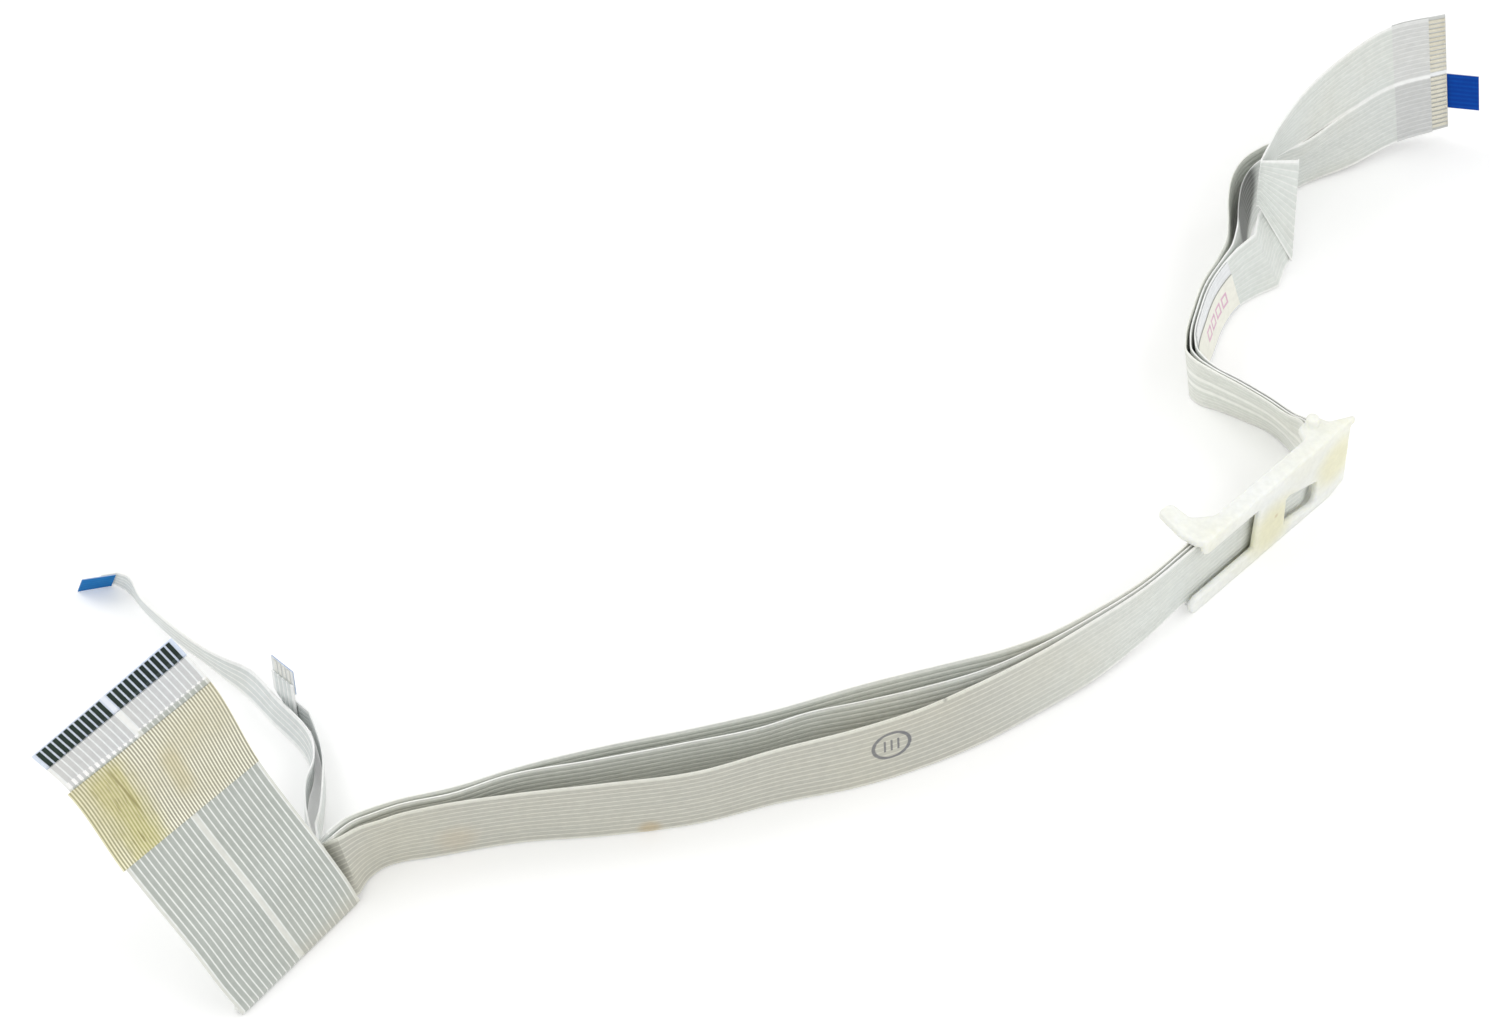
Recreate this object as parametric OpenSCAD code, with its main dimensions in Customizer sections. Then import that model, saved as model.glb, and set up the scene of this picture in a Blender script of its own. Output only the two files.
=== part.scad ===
// Flat flexible cable harness: a wide slit ribbon, a narrow ribbon with two tails, and a nylon clip.
// Each ribbon is one closed sheet. Its rows run across the width and follow the folds one by one.

/* [Ribbons] */
// Distance from one conductor to the next
pitch = 1; // [0.9:0.02:1.04]
// Thickness of the film between conductors
film_t = 0.22; // [0.16:0.02:0.24]
// Height of a conductor's ridge on each face of the film
ridge_h = 0.06; // [0.02:0.01:0.07]
// Width of the slit between the halves of the wide ribbon
slit_w = 0.2; // [0.1:0.05:0.4]

/* [Ends] */
// Length of the bare contacts at an end
contact_len = 3.2; // [2:0.1:4.5]
// Width of one contact
contact_w = 0.68; // [0.4:0.02:0.75]
// Thickness of one contact
contact_t = 0.08; // [0.05:0.01:0.1]
// Length of the backing film behind the left end of the wide ribbon
left_backing_len = 9; // [6:0.5:10]
// Length of the backing film behind the right end of the wide ribbon
right_backing_len = 10; // [8:0.2:10.2]
// Thickness of the backing film and of the blue tabs
backing_t = 0.22; // [0.15:0.01:0.3]
// Length of the blue tabs on the tails
tail_tab_len = 5.5; // [5:0.25:5.5]
// Length of the blue tab past the end of the narrow ribbon
pull_tab_len = 8.5; // [7:0.25:9]
// Height of the blue tab on the narrow ribbon
pull_tab_h = 8; // [5:0.5:8.5]

/* [Tapes and label] */
// Distance from the left tip to the tape on the panel
tape_from = 8.5; // [8:0.5:12]
// Length of the tape on the panel
tape_len = 15.5; // [10:0.5:20]
// Overhang of the tape past the panel's near edge
tape_over = 0.6; // [0.2:0.1:1.5]
// Thickness of the tapes and the label
tape_t = 0.06; // [0.04:0.01:0.1]
// Height of the paper label
label_h = 8.6; // [5:0.2:9]

/* [Clip] */
// Length of the clip
clip_len = 41.5; // [40:0.5:48]
// Depth of the clip from front to back
clip_d = 5.6; // [5.4:0.1:7]
// Thickness of the clip's walls
clip_wall = 1.2; // [1:0.1:1.3]
// Height of the lips that hold the ribbons' edges
lip_h = 3.4; // [2:0.1:4]
// Room above and below the ribbons inside the clip
clip_gap = 0.6; // [0.3:0.05:1]
// Width of the post across the clip's window
post_w = 8; // [5:0.5:9]
// Reach of the latch arm behind the clip
latch_len = 5; // [4:0.5:7]

/* [Hidden] */
$fn = 48;

half_n = 12;
half_w = (half_n + 1) * pitch;
wide_w = 2 * half_w;
tail_n = 4;
tail_w = (tail_n + 1) * pitch;
middle_n = 2;
// Room left between faces that lie on each other
seam = 0.03;
skin = film_t / 2 + ridge_h;
seat = clip_wall + clip_gap;
floor_z = 0.2;

function mix(a, b, f) = a + (b - a) * f;
function unit(v) = v / norm(v);
function last(list) = list[len(list) - 1];
function part_of(list, from, to) = [for (i = [from:to]) list[i]];

// A table holds rows of [distance, x, y, z] and gives the place at any distance between them
function along(table, s, k) = lookup(s, [for (r = table) [r[0], r[k]]]);
function place(table, s) = [along(table, s, 1), along(table, s, 2), along(table, s, 3)];

// Places across a strip of n conductors: its edges, each conductor and each valley between two
function across(n, from = 0) = [
    from * pitch,
    for (i = [1:n]) each i < n ? [(from + i) * pitch, (from + i + 0.5) * pitch] : [(from + i) * pitch],
    (from + n + 1) * pitch
];
half_cols = across(half_n);
// Half the thickness of the film at each of those places
function ridges(n) = [
    film_t / 2, for (i = [1:n]) each i < n ? [film_t / 2 + ridge_h, film_t / 2] : [film_t / 2 + ridge_h],
    film_t / 2
];

// The left panel's near and far edges, by distance from its tip
panel_near = [
    [0, -115, -81.4, 39.9], [8, -110.7, -82, 33.3], [24.5, -103.2, -86.8, 19.8], [40, -93.2, -95.8, 11.1], [46, -90, -98, 6.2], [52, -87.4, -98.7, 0.9]
];
panel_far = [
    [0, -95.8, -65.2, 47], [8, -91.6, -65.2, 38], [24.5, -85.4, -68, 21.6], [40, -75.8, -77.3, 12.8], [46, -73.1, -78.4, 7.1], [52, -71.5, -78.1, 0.9]
];
panel_len = 52;
function panel_row(s, cols) = [for (c = cols) mix(place(panel_near, s), place(panel_far, s), c / wide_w)];

// Below the panel the halves double back, each folds at 45 degrees, and both leave along the crease
crease = place(panel_near, panel_len);
crease_dir = unit(place(panel_far, panel_len) - crease);
inward = [-crease_dir[1], crease_dir[0], 0];
// The folded layers lean under the panel, more at its near side
near_tilt = 52;
far_tilt = 68;
layer = 0.5;
turn_r = layer / 2;
function fold_point(pos, rise, depth) = let (
    tilt = near_tilt + (far_tilt - near_tilt) * pos / wide_w,
    along_up = inward * cos(tilt) + [0, 0, sin(tilt)], back = inward * sin(tilt) - [0, 0, cos(tilt)])
    crease + crease_dir * pos + along_up * rise + back * depth;
// Rows of one half, from the crease past its fold
lift = 0.5;
squeeze = 0.87;
function fold_rows(first, cols, depth) = [
    [for (c = cols) fold_point(first + c, -turn_r, layer / 2)],
    [for (c = cols) fold_point(first + c, 0, layer)],
    [for (c = cols) fold_point(first + squeeze * c, squeeze * c + lift, layer)],
    [for (c = cols) fold_point(first + squeeze * c - turn_r, squeeze * c + lift + turn_r, (layer + depth) / 2)],
    [for (c = cols) fold_point(first + squeeze * c, squeeze * c + lift, depth)]
];
function under_row(pos, cols, depth) = [for (c = cols) fold_point(pos, squeeze * c + lift, depth)];

// A run stands on edge. Each stop is [x, y, height of the lower edge, shift of the upper edge in x and y]
function run_row(stop, cols, w) =
    let (top = [stop[3], stop[4], sqrt(w * w - stop[3] * stop[3] - stop[4] * stop[4])])
    [for (c = cols) [stop[0], stop[1], stop[2]] + top * c / w];
function run_rows(stops, cols, w) = [for (s = stops) run_row(s, cols, w)];

front_run = [
    [-71.6, -76.9, 0.8, -2.4, 1], [-70.4, -73.8, 0.4, -0.5, 0.1], [-68.1, -71.4, floor_z, 0.2, -0.9],
    [-65.9, -70.5, floor_z, 0.3, -0.8], [-61, -69.5, floor_z, 0.1, -0.4], [-47.6, -66.7, floor_z, 0, -0.6],
    [-35, -65.5, floor_z, 0, 0], [-20, -63, floor_z, 0, 0], [-8, -59.2, floor_z, -0.3, 0.4],
    [5, -55.9, floor_z, -0.7, 1.2], [14.4, -52.3, floor_z, -0.7, 1.4], [23, -48.1, 0.3, -1, 1.7],
    [33.8, -41.2, 0.5, -1, 1.4], [42, -35.5, 0.8, -1.1, 1.4], [50.5, -27.8, 1.2, -0.5, 0.5],
    [58.1, -19.7, seat, 0, 0],
    [66, -11.4, seat, 0, 0], [76, -1.1, seat, 0, 0], [80, 3.1, seat, 0, 0], [81, 5.2, seat, -0.2, 0],
    [81.2, 9, seat, -0.8, -0.3], [81, 13.5, 1, -2.8, -1.7], [77.3, 20.6, floor_z, -2.8, -3.6],
    [72.6, 24, floor_z, -2.6, -3.2], [68.6, 26.3, floor_z, -2.7, -2.4], [66, 28, floor_z, -2, -1.8],
    [65.3, 29.3, floor_z, -2, -1.5], [65.6, 31, floor_z, -2.4, -1.5], [68.3, 39.2, floor_z, -3.4, -1.5],
    [70.6, 45.4, floor_z, -3.5, -1.6], [73.9, 50.6, floor_z, -3.7, -1.4],
    [77.1, 53.1, floor_z, -4.7, -0.6]
];
back_run = [
    [-72.3, -76.5, 0.9, -2.4, 1.1], [-71.7, -74.8, 0.7, -1.7, 0.9], [-71, -73.4, 0.5, -1.2, 0.7], [-68.8, -70.8, floor_z, -0.5, -0.2],
    [-66.2, -69.6, floor_z, 0, 0], [-57, -67, floor_z, 0, 0], [-49.5, -63.8, floor_z, 0, 0],
    [-36, -60.7, floor_z, 0, 0], [-23, -57.6, floor_z, 0, 0], [-10, -54.4, floor_z, -0.1, 0.2],
    [-3, -52.4, floor_z, -0.5, 0.9], [6, -50.6, floor_z, -0.8, 1.5], [15, -48.3, floor_z, -1, 1.8],
    [26, -44.3, 0.3, -1.1, 1.8],
    [35.5, -39, 0.5, -1.2, 1.7], [43.2, -33.4, 0.8, -1, 1.3], [51.1, -26.3, 1.2, -0.4, 0.5],
    [57.6, -19.2, seat, 0, 0], [65.5, -11, seat, 0, 0], [75.5, -0.6, seat, 0, 0],
    [79.2, 3.3, seat, 0, 0], [80.2, 5.3, seat, -0.2, 0], [80.5, 9, seat, -0.8, -0.3],
    [80.4, 13.4, 1, -2.8, -1.7], [76.8, 20.3, floor_z, -2.8, -3.6], [72.3, 23.5, floor_z, -2.6, -3.2],
    [68.3, 25.8, floor_z, -2.7, -2.4], [65.2, 27.6, floor_z, -2, -1.8], [64.4, 29, floor_z, -2, -1.5],
    [64.8, 31.2, floor_z, -2.4, -1.5], [67.7, 39.5, floor_z, -3.4, -1.5], [70, 45.8, floor_z, -3.5, -1.6],
    [73.2, 51, floor_z, -3.5, -1.2], [75, 54, floor_z, -3.3, -0.6], [75.6, 56, floor_z, -3.2, -0.3],
    [76, 58.2, floor_z, -3, 0],
    [76.5, 63, floor_z, -2.8, 0.4], [77.3, 68, floor_z, -2.4, 0.8], [79.2, 72.6, floor_z, -2.1, 0.4],
    [81.6, 76, floor_z, -2, -0.6], [84.4, 78.7, floor_z, -1.9, -1.6]
];
narrow_run = [
    [-73.2, -76, 1, -2.4, 1.2], [-71.9, -73, 0.6, -1.3, 0.8], [-69.3, -70.1, floor_z, -0.5, 0],
    [-66.4, -68.7, floor_z, 0, 0], [-57, -65.9, floor_z, 0, 0], [-47.7, -62.2, floor_z, 0, 0],
    [-36, -58.5, floor_z, 0, 0], [-22, -54.9, floor_z, 0, 0], [-8, -51.3, floor_z, -0.3, 0.4],
    [6, -47.6, floor_z, -1, 1.7], [20, -43.2, floor_z, -1, 1.8], [28.5, -40.6, 0.3, -1.1, 1.8],
    [35.5, -37.6, 0.5, -1.2, 1.7], [42.8, -32.7, 0.8, -1, 1.3], [50.7, -25.8, 1.2, -0.4, 0.5],
    [57.2, -18.8, seat, 0, 0], [65, -10.5, seat, 0, 0], [75, -0.1, seat, 0, 0],
    [78.4, 3.6, seat, 0, 0], [79.4, 5.5, seat, -0.2, 0], [79.8, 9, seat, -0.8, -0.3],
    [79.8, 13.2, 1, -2.8, -1.7], [76.4, 19.9, floor_z, -2.8, -3.6], [72, 23, floor_z, -2.6, -3.2],
    [68, 25.3, floor_z, -2.7, -2.4], [64.6, 27, floor_z, -2, -1.8], [63.5, 28.6, floor_z, -2, -1.5],
    [64, 31.4, floor_z, -2.4, -1.5], [67.1, 39.8, floor_z, -3.4, -1.5], [69.4, 46.1, floor_z, -3.5, -1.6],
    [72.5, 51.5, floor_z, -3.4, -1], [73.9, 54.8, floor_z, -3.2, -0.4], [74.3, 59, floor_z, -2.9, 0],
    [74.6, 64, floor_z, -2.7, 0.4], [75.5, 69, floor_z, -2.5, 0.8], [77.6, 74, floor_z, -2.2, 0.6],
    [81.2, 78.6, floor_z, -2, -0.6], [86.2, 82.4, 0.3, -1.8, -1.6], [91, 85.3, 0.5, -1.9, -0.6],
    [96.5, 88.1, 0.8, -2, 0.4], [104.8, 93.1, 1.4, -2, 0.3], [113.5, 95.8, 2, -2, 0.3]
];
// Stops of the whole wide ribbon at its right end, the last at the tip
wide_run = [
    [87.2, 81, 0.3, -3.6, -5.2], [97.6, 86.3, 1, -4, 0.8], [106, 91.3, 2, -4.1, 2], [116, 94.4, 3, -4.1, 1]
];
wide_end_len = norm([for (k = [0:2]) wide_run[3][k] - wide_run[2][k]]);
function wide_stop(s) = mix(last(wide_run), wide_run[2], s / wide_end_len);

// The front half folds up at the right, then over and back, to lie above the other half.
// Each table gives a fold line's place by distance across the ribbon
meet_line = [[0, 81.3, 55.5, 0.25], [13, 75.8, 55.9, 12.6]];
turn_line = [[0, 82.6, 59.3, 0.6], [13, 77, 61.3, 12.4]];
low_fold = [[0, 83.7, 60.6, 1.5], [13, 83.7, 67.4, 19.6]];
high_fold = [[0, 76.6, 61.4, 14.2], [13, 76.6, 62.4, 24]];
over_line = [[0, 81.5, 75, 13.3], [13, 79.7, 69.3, 25]];
function table_row(table, cols) = [for (c = cols) place(table, c / pitch)];
// A tight crease is three rows: the film's end on one face, its bend, and its start on the other face
function crease_rows(before, row, after) = let (n = len(row) - 1, turns = [for (i = [0:n]) let (
    along = unit(row[min(i + 1, n)] - row[max(i - 1, 0)]),
    middle = unit(before[i] - row[i]) + unit(after[i] - row[i]),
    inward = unit(middle - along * (middle * along))) [inward, cross(along, inward)]])
    [for (step = [[0, -1], [-1, 0], [0, 1]])
        [for (i = [0:n]) row[i] + turn_r * (step[0] * turns[i][0] + step[1] * turns[i][1])]];
function pack_rows(cols) = let (meet = table_row(meet_line, cols), turn = table_row(turn_line, cols),
    low = table_row(low_fold, cols), high = table_row(high_fold, cols), over = table_row(over_line, cols))
    concat([meet, turn], crease_rows(turn, low, high), crease_rows(low, high, over), [over]);

// Rows of the whole wide ribbon: the back half starts at the panel's near edge
panel_stops = [contact_len, 8, 16, 24.5, 32, 37, 40, 43, 46, 49, panel_len];
wide_lengths = [wide_end_len, contact_len];
lower_cols = [for (c = half_cols) min(c, half_w - slit_w / 2)];
upper_cols = [for (c = half_cols) max(c, slit_w / 2)];
function half_rows(first, cols, depth, middle) = concat(
    [for (s = panel_stops) panel_row(s, [for (c = half_cols) first + c])],
    fold_rows(first, cols, depth), middle,
    [run_row(wide_run[0], [for (c = half_cols) first + c], wide_w),
        run_row(wide_run[1], [for (c = half_cols) first + c], wide_w),
        for (s = wide_lengths) run_row(wide_stop(s), [for (c = half_cols) first + c], wide_w)]
);
back_half = half_rows(0, lower_cols, 3 * layer,
    concat([under_row(wide_w - 0.8 * pitch, lower_cols, 3 * layer)], run_rows(back_run, lower_cols, half_w)));
front_half = half_rows(half_w, upper_cols, 2 * layer,
    concat([under_row(wide_w - 0.8 * pitch, upper_cols, 2 * layer)],
        run_rows(front_run, upper_cols, half_w), pack_rows(upper_cols)));

// The narrow ribbon's tails, from tip to root. The shift is that of the tail's upper edge
long_tail = [
    [-122.2, -15.2, floor_z, 1.5, -1.5], [-116.6, -13.9, floor_z, 1.5, -1.6], [-114.9, -14.9, floor_z, 1.2, -1.2],
    [-110.3, -20.4, floor_z, -0.4, -0.6], [-104.6, -26.6, floor_z, -0.6, -0.2],
    [-99.3, -31.2, floor_z, 0, -0.6], [-96.4, -34, floor_z, 0.8, 0], [-94, -36.2, floor_z, 1.6, 0.8],
    [-88.3, -42.6, floor_z, 1.4, 1], [-81.3, -51.6, floor_z, 1, 0.5], [-80.5, -54.2, floor_z, 0.5, 0.1],
    [-80.9, -58.5, floor_z, 0, 0], [-80.9, -62.8, floor_z, 0.3, 0], [-79.9, -67.2, floor_z, 0.3, 0.2],
    [-78, -71.5, floor_z, 0, 0.4], [-75.6, -75.2, 0.3, -0.5, 0.8]
];
// The short tail comes along the surface on edge and folds up at 45 degrees behind the long tail
short_foot = [-83.3, -43.2, 0.4];
short_dir = [-0.727, 0.686, 0];
short_front = [-0.34, -0.36, 0];
short_h = 12.6;
function short_point(c, h, f) = short_foot + short_dir * c + short_front * f + [0, 0, h];
function short_up(s, cols) = [for (c = cols) short_point(c, short_h - s, 1)];
short_tail = [
    [-81.5, -44.9, 0.3, 0, 0], [-80.3, -48.2, floor_z, 0.1, 0.1], [-79, -53.2, floor_z, 0.3, 0.1],
    [-78.3, -58.6, floor_z, 0, 0], [-78.2, -63.6, 0.6, 0, 0], [-77.9, -68.6, 3, -0.3, 0.3],
    [-77, -71.8, 5.6, -0.9, 0.8]
];
function short_rows(cols) = concat([for (s = [contact_len, tail_tab_len, 6.8]) short_up(s, cols)], [
    [for (c = cols) short_point(c, c, 1)],
    [for (c = cols) short_point(c + turn_r * 0.7, c - turn_r * 0.7, 0.5)],
    [for (c = cols) short_point(c, c, 0)]
], run_rows(short_tail, cols, tail_w));
function tail_rows(stops, cols) = let (end = stops[0], next = stops[1],
    whole = norm([end[0] - next[0], end[1] - next[1]])) concat(
    [run_row(mix(end, next, contact_len / whole), cols, tail_w)],
    run_rows(part_of(stops, 1, len(stops) - 1), cols, tail_w));

// The narrow ribbon is three strips side by side. The outer two go on as the tails
lower_n = tail_n;
middle_from = tail_n + 1;
upper_from = middle_from + middle_n + 1;
tail_cols = across(tail_n);
function narrow_rows(cols) = concat(
    [[for (c = cols) fold_point(wide_w - 0.8 * pitch, squeeze * c + lift, 4.4 * layer)]],
    run_rows(narrow_run, cols, half_w));

// Direction square to a sheet at row i and column j, midway between the rows on each side
function heading(rows, i, j) = unit(rows[i + 1][j] - rows[i][j]);
function square_to(rows, i, j) = let (end = len(rows) - 1) unit(cross(
    i == 0 ? heading(rows, 0, j) : i == end ? heading(rows, end - 1, j)
        : heading(rows, i - 1, j) + heading(rows, i, j),
    rows[i][min(j + 1, len(rows[i]) - 1)] - rows[i][max(j - 1, 0)]));

// One closed sheet from strips side by side. Strip s starts at row starts[s], and is one with the strip
// before it at each row from joins[s][k][0] to joins[s][k][1]. thick[s] is half the thickness by column
module sheet(strips, thick, starts = [0], joins = [[]], lift = 0) {
    ends = [for (s = [0:len(strips) - 1]) starts[s] + len(strips[s]) - 1];
    cols = [for (r = strips) len(r[0])];
    counts = [for (s = [0:len(strips) - 1]) 2 * len(strips[s]) * cols[s]];
    first = [for (s = 0, sum = 0; s < len(strips); sum = sum + counts[s], s = s + 1) sum];
    function joined(s, i) = s > 0 && s < len(strips) && len([for (j = joins[s]) if (i >= j[0] && i <= j[1]) 1]) > 0;
    function corner(s, i, j, side) = j == 0 && joined(s, i)
        ? corner(s - 1, i, cols[s - 1] - 1, side)
        : first[s] + 2 * ((i - starts[s]) * cols[s] + j) + side;
    function two(a, b, c, d) = [[a, b, c], [a, c, d]];
    points = [for (s = [0:len(strips) - 1]) for (i = [0:len(strips[s]) - 1]) for (j = [0:cols[s] - 1])
        for (side = [1, -1]) strips[s][i][j] + square_to(strips[s], i, j) * (lift + side * thick[s][j])];
    faces = [for (s = [0:len(strips) - 1]) each concat(
        [for (i = [starts[s]:ends[s] - 1]) for (j = [0:cols[s] - 2]) each concat(
            two(corner(s, i, j, 0), corner(s, i, j + 1, 0), corner(s, i + 1, j + 1, 0), corner(s, i + 1, j, 0)),
            two(corner(s, i, j, 1), corner(s, i + 1, j, 1), corner(s, i + 1, j + 1, 1), corner(s, i, j + 1, 1)))],
        [for (i = [starts[s]:ends[s] - 1]) if (!(joined(s, i) && joined(s, i + 1)))
            each two(corner(s, i, 0, 0), corner(s, i + 1, 0, 0), corner(s, i + 1, 0, 1), corner(s, i, 0, 1))],
        [for (i = [starts[s]:ends[s] - 1]) if (!(joined(s + 1, i) && joined(s + 1, i + 1)))
            let (k = cols[s] - 1)
            each two(corner(s, i + 1, k, 0), corner(s, i, k, 0), corner(s, i, k, 1), corner(s, i + 1, k, 1))],
        [for (j = [0:cols[s] - 2]) each concat(
            two(corner(s, starts[s], j + 1, 0), corner(s, starts[s], j, 0),
                corner(s, starts[s], j, 1), corner(s, starts[s], j + 1, 1)),
            two(corner(s, ends[s], j, 0), corner(s, ends[s], j + 1, 0),
                corner(s, ends[s], j + 1, 1), corner(s, ends[s], j, 1)))])];
    polyhedron(points, faces);
}

assert(len(front_half) == len(back_half));
module wide_ribbon() color([0.8, 0.82, 0.82]) sheet(
    [back_half, front_half], [ridges(half_n), ridges(half_n)], [0, 0],
    [[], [[0, len(panel_stops) - 1], [len(back_half) - 4, len(back_half) - 1]]]);

module narrow_ribbon() color([0.84, 0.85, 0.83]) sheet(
    [concat(tail_rows(long_tail, tail_cols), narrow_rows(tail_cols)),
        narrow_rows(across(middle_n, middle_from)),
        concat(short_rows(tail_cols), narrow_rows(across(tail_n, upper_from)))],
    [ridges(tail_n), ridges(middle_n), ridges(tail_n)],
    [0, len(long_tail), len(long_tail) - len(short_rows(tail_cols))],
    [[], [[len(long_tail), 1000]], [[len(long_tail), 1000]]]);

// A plain piece of one thickness, lying on a face or behind it
module piece(rows, t, lift) sheet([rows], [[for (c = rows[0]) t / 2]], lift = lift);
backing_lift = skin + seam + backing_t / 2;
contact_lift = skin + seam - contact_t / 2 - seam;
every_pitch = [for (i = [0:2 * half_n + 2]) i * pitch];

module left_backing() color([0.78, 0.84, 0.93]) piece(
    [for (s = [0, contact_len, 8, left_backing_len]) panel_row(s, every_pitch)], backing_t, -backing_lift);

module right_backing() color([0.8, 0.8, 0.84]) piece(
    [for (s = [right_backing_len, contact_len, 0]) run_row(wide_stop(s), every_pitch, wide_w)],
    backing_t, -backing_lift);

conductors = [for (i = [1:2 * half_n + 1]) if (i != half_n + 1) i * pitch];
function contact_cols(c) = [c - contact_w / 2, c + contact_w / 2];
contact_ends = [0.1, contact_len - seam * 2];

module left_contacts() color([0.1, 0.14, 0.13]) for (c = conductors) piece(
    [for (s = contact_ends) panel_row(s, contact_cols(c))], contact_t, -contact_lift);

module right_contacts() color([0.72, 0.68, 0.5]) for (c = conductors) piece(
    [for (s = [contact_ends[1], contact_ends[0]]) run_row(wide_stop(s), contact_cols(c), wide_w)],
    contact_t, -contact_lift);

tape_lift = skin + seam + tape_t / 2;
module panel_tape() color([0.8, 0.77, 0.62]) piece(
    [for (s = [tape_from, 16, tape_from + tape_len]) panel_row(s, concat([-tape_over], every_pitch))],
    tape_t, tape_lift);

// The tape and the label after the upright crease, on the face towards the right
label_stops = concat([mix(front_run[27], front_run[28], 0.15)], part_of(front_run, 28, 30));
bend_edges = [0.3 * pitch, each [for (i = [1:half_n]) i * pitch], half_w - 0.3 * pitch];
module bend_tape() color([0.88, 0.9, 0.93]) piece(
    run_rows(label_stops, bend_edges, half_w), tape_t, tape_lift);
module paper_label() color([0.93, 0.91, 0.82]) piece(
    run_rows(label_stops, [for (f = [0:0.125:1]) 0.8 * pitch + f * label_h], half_w),
    tape_t, tape_lift + tape_t + seam);

// The blue tab starts on the narrow ribbon's right end, sticks out beyond it and bends to the front
tab_overlap = 5;
end_stop = last(narrow_run);
end_step = end_stop - narrow_run[len(narrow_run) - 2];
end_unit = end_step / norm([for (k = [0:2]) end_step[k]]);
tab_unit = [0.985, -0.17, 0.02];
module pull_tab() color([0.03, 0.3, 0.65]) piece(
    [for (s = [-tab_overlap, 0, 2, pull_tab_len]) run_row(
        [for (k = [0:4]) end_stop[k] + (k > 2 ? 0 : s < 1 ? end_unit[k] * s : end_unit[k] + tab_unit[k] * (s - 1))],
        [half_w - pitch / 4 - pull_tab_h, half_w - pitch / 4], half_w)],
    backing_t, skin + seam + backing_t / 2);

// Each tail ends in a blue tab, with its contacts on the other face or beside it
tab_lift = skin + seam + backing_t / 2;
function long_end(s, cols) = let (a = long_tail[0], b = long_tail[1])
    run_row(mix(a, b, s / norm([a[0] - b[0], a[1] - b[1]])), cols, tail_w);
module long_tail_tab() color([0.1, 0.42, 0.72]) piece(
    [for (s = [0, tail_tab_len]) long_end(s, [0, tail_w])], backing_t, tab_lift);
module short_tail_tab() color([0.1, 0.42, 0.72]) piece(
    [for (s = [0, tail_tab_len]) short_up(s, [0, tail_w])], backing_t, tab_lift);
module long_tail_contacts() color([0.72, 0.68, 0.5]) for (i = [1:tail_n]) piece(
    [for (s = contact_ends) long_end(s, contact_cols(i * pitch))], contact_t, skin - contact_t / 2);
module short_tail_contacts() color([0.72, 0.68, 0.5]) for (i = [1:tail_n]) piece(
    [for (s = contact_ends) short_up(s, contact_cols(i * pitch))], contact_t, skin - contact_t / 2);

// The clip: two channels that hold the ribbons' edges, a post, an end plate and a latch arm
clip_at = [59.5, -21, 0];
clip_turn = 46;
clip_h = half_w + 2 * seat;
end_w = 9.7;
post_at = 0.38 * clip_len;
back_from = 5;
// The ribbons leave the clip through a gap in its back
exit_from = 27;
exit_to = 38.5;
arm_w = 2.4;
arm_h = 3.4;
peg_r = 1.2;
peg_h = 1.8;

module bar(from, h) {
    r = h / 2;
    translate([from + r, r]) circle(r);
    translate([from + r, 0]) square([clip_len - from - r, h]);
}
module clip_front() {
    bar(0, lip_h);
    translate([0, clip_h - lip_h]) bar(0, lip_h);
    translate([post_at, 0]) square([post_w, clip_h]);
    translate([clip_len - end_w, 0]) square([end_w, clip_h]);
}
module clip_back() {
    translate([back_from, 0]) square([post_at + post_w - back_from, clip_h]);
    for (z = [0, clip_h - lip_h]) translate([0, z]) {
        square([exit_from, lip_h]);
        translate([exit_to, 0]) square([clip_len - exit_to, lip_h]);
    }
}
module wall(at) translate([0, at + clip_wall, 0]) rotate([90, 0, 0]) linear_extrude(clip_wall) children();
module clip() color([0.92, 0.92, 0.83]) translate(clip_at) rotate(clip_turn) {
    wall(0) clip_front();
    wall(clip_d - clip_wall) clip_back();
    translate([clip_wall, 0, 0]) cube([clip_len - clip_wall, clip_d, clip_wall]);
    translate([clip_wall, 0, clip_h - clip_wall]) cube([clip_len - clip_wall, clip_d, clip_wall]);
    translate([2, clip_d - clip_wall, clip_h - arm_h]) cube([arm_w, latch_len + clip_wall, arm_h]);
    translate([1, clip_d + latch_len - clip_wall, clip_h - arm_h]) cube([arm_w + 1, clip_wall, arm_h]);
    translate([34, clip_d - clip_wall, clip_h - clip_wall]) cylinder(r = peg_r, h = peg_h + clip_wall);
}

wide_ribbon();
narrow_ribbon();
left_backing();
left_contacts();
right_backing();
right_contacts();
panel_tape();
bend_tape();
paper_label();
pull_tab();
long_tail_tab();
short_tail_tab();
long_tail_contacts();
short_tail_contacts();
clip();
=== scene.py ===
import math
import bpy
import bmesh
import numpy as np
from mathutils import Matrix, Vector


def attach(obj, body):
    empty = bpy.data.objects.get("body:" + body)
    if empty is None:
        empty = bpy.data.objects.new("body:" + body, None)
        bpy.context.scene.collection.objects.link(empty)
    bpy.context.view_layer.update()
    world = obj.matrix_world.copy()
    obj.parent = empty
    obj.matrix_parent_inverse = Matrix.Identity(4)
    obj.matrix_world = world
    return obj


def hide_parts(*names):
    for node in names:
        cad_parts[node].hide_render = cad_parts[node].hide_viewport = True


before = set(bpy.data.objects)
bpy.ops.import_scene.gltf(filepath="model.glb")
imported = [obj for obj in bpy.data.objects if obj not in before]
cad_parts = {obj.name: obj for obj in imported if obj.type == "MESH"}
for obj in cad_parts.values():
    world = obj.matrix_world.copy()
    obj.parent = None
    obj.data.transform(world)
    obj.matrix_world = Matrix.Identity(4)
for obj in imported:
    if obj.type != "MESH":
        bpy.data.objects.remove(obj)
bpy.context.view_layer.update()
mm = 0.001

# Camera: the photograph's angle, from the front and well above
cameraView = {"lens": 87.0, "target": (-13, 1, 0), "distance": 600, "elevation": 48}


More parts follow.
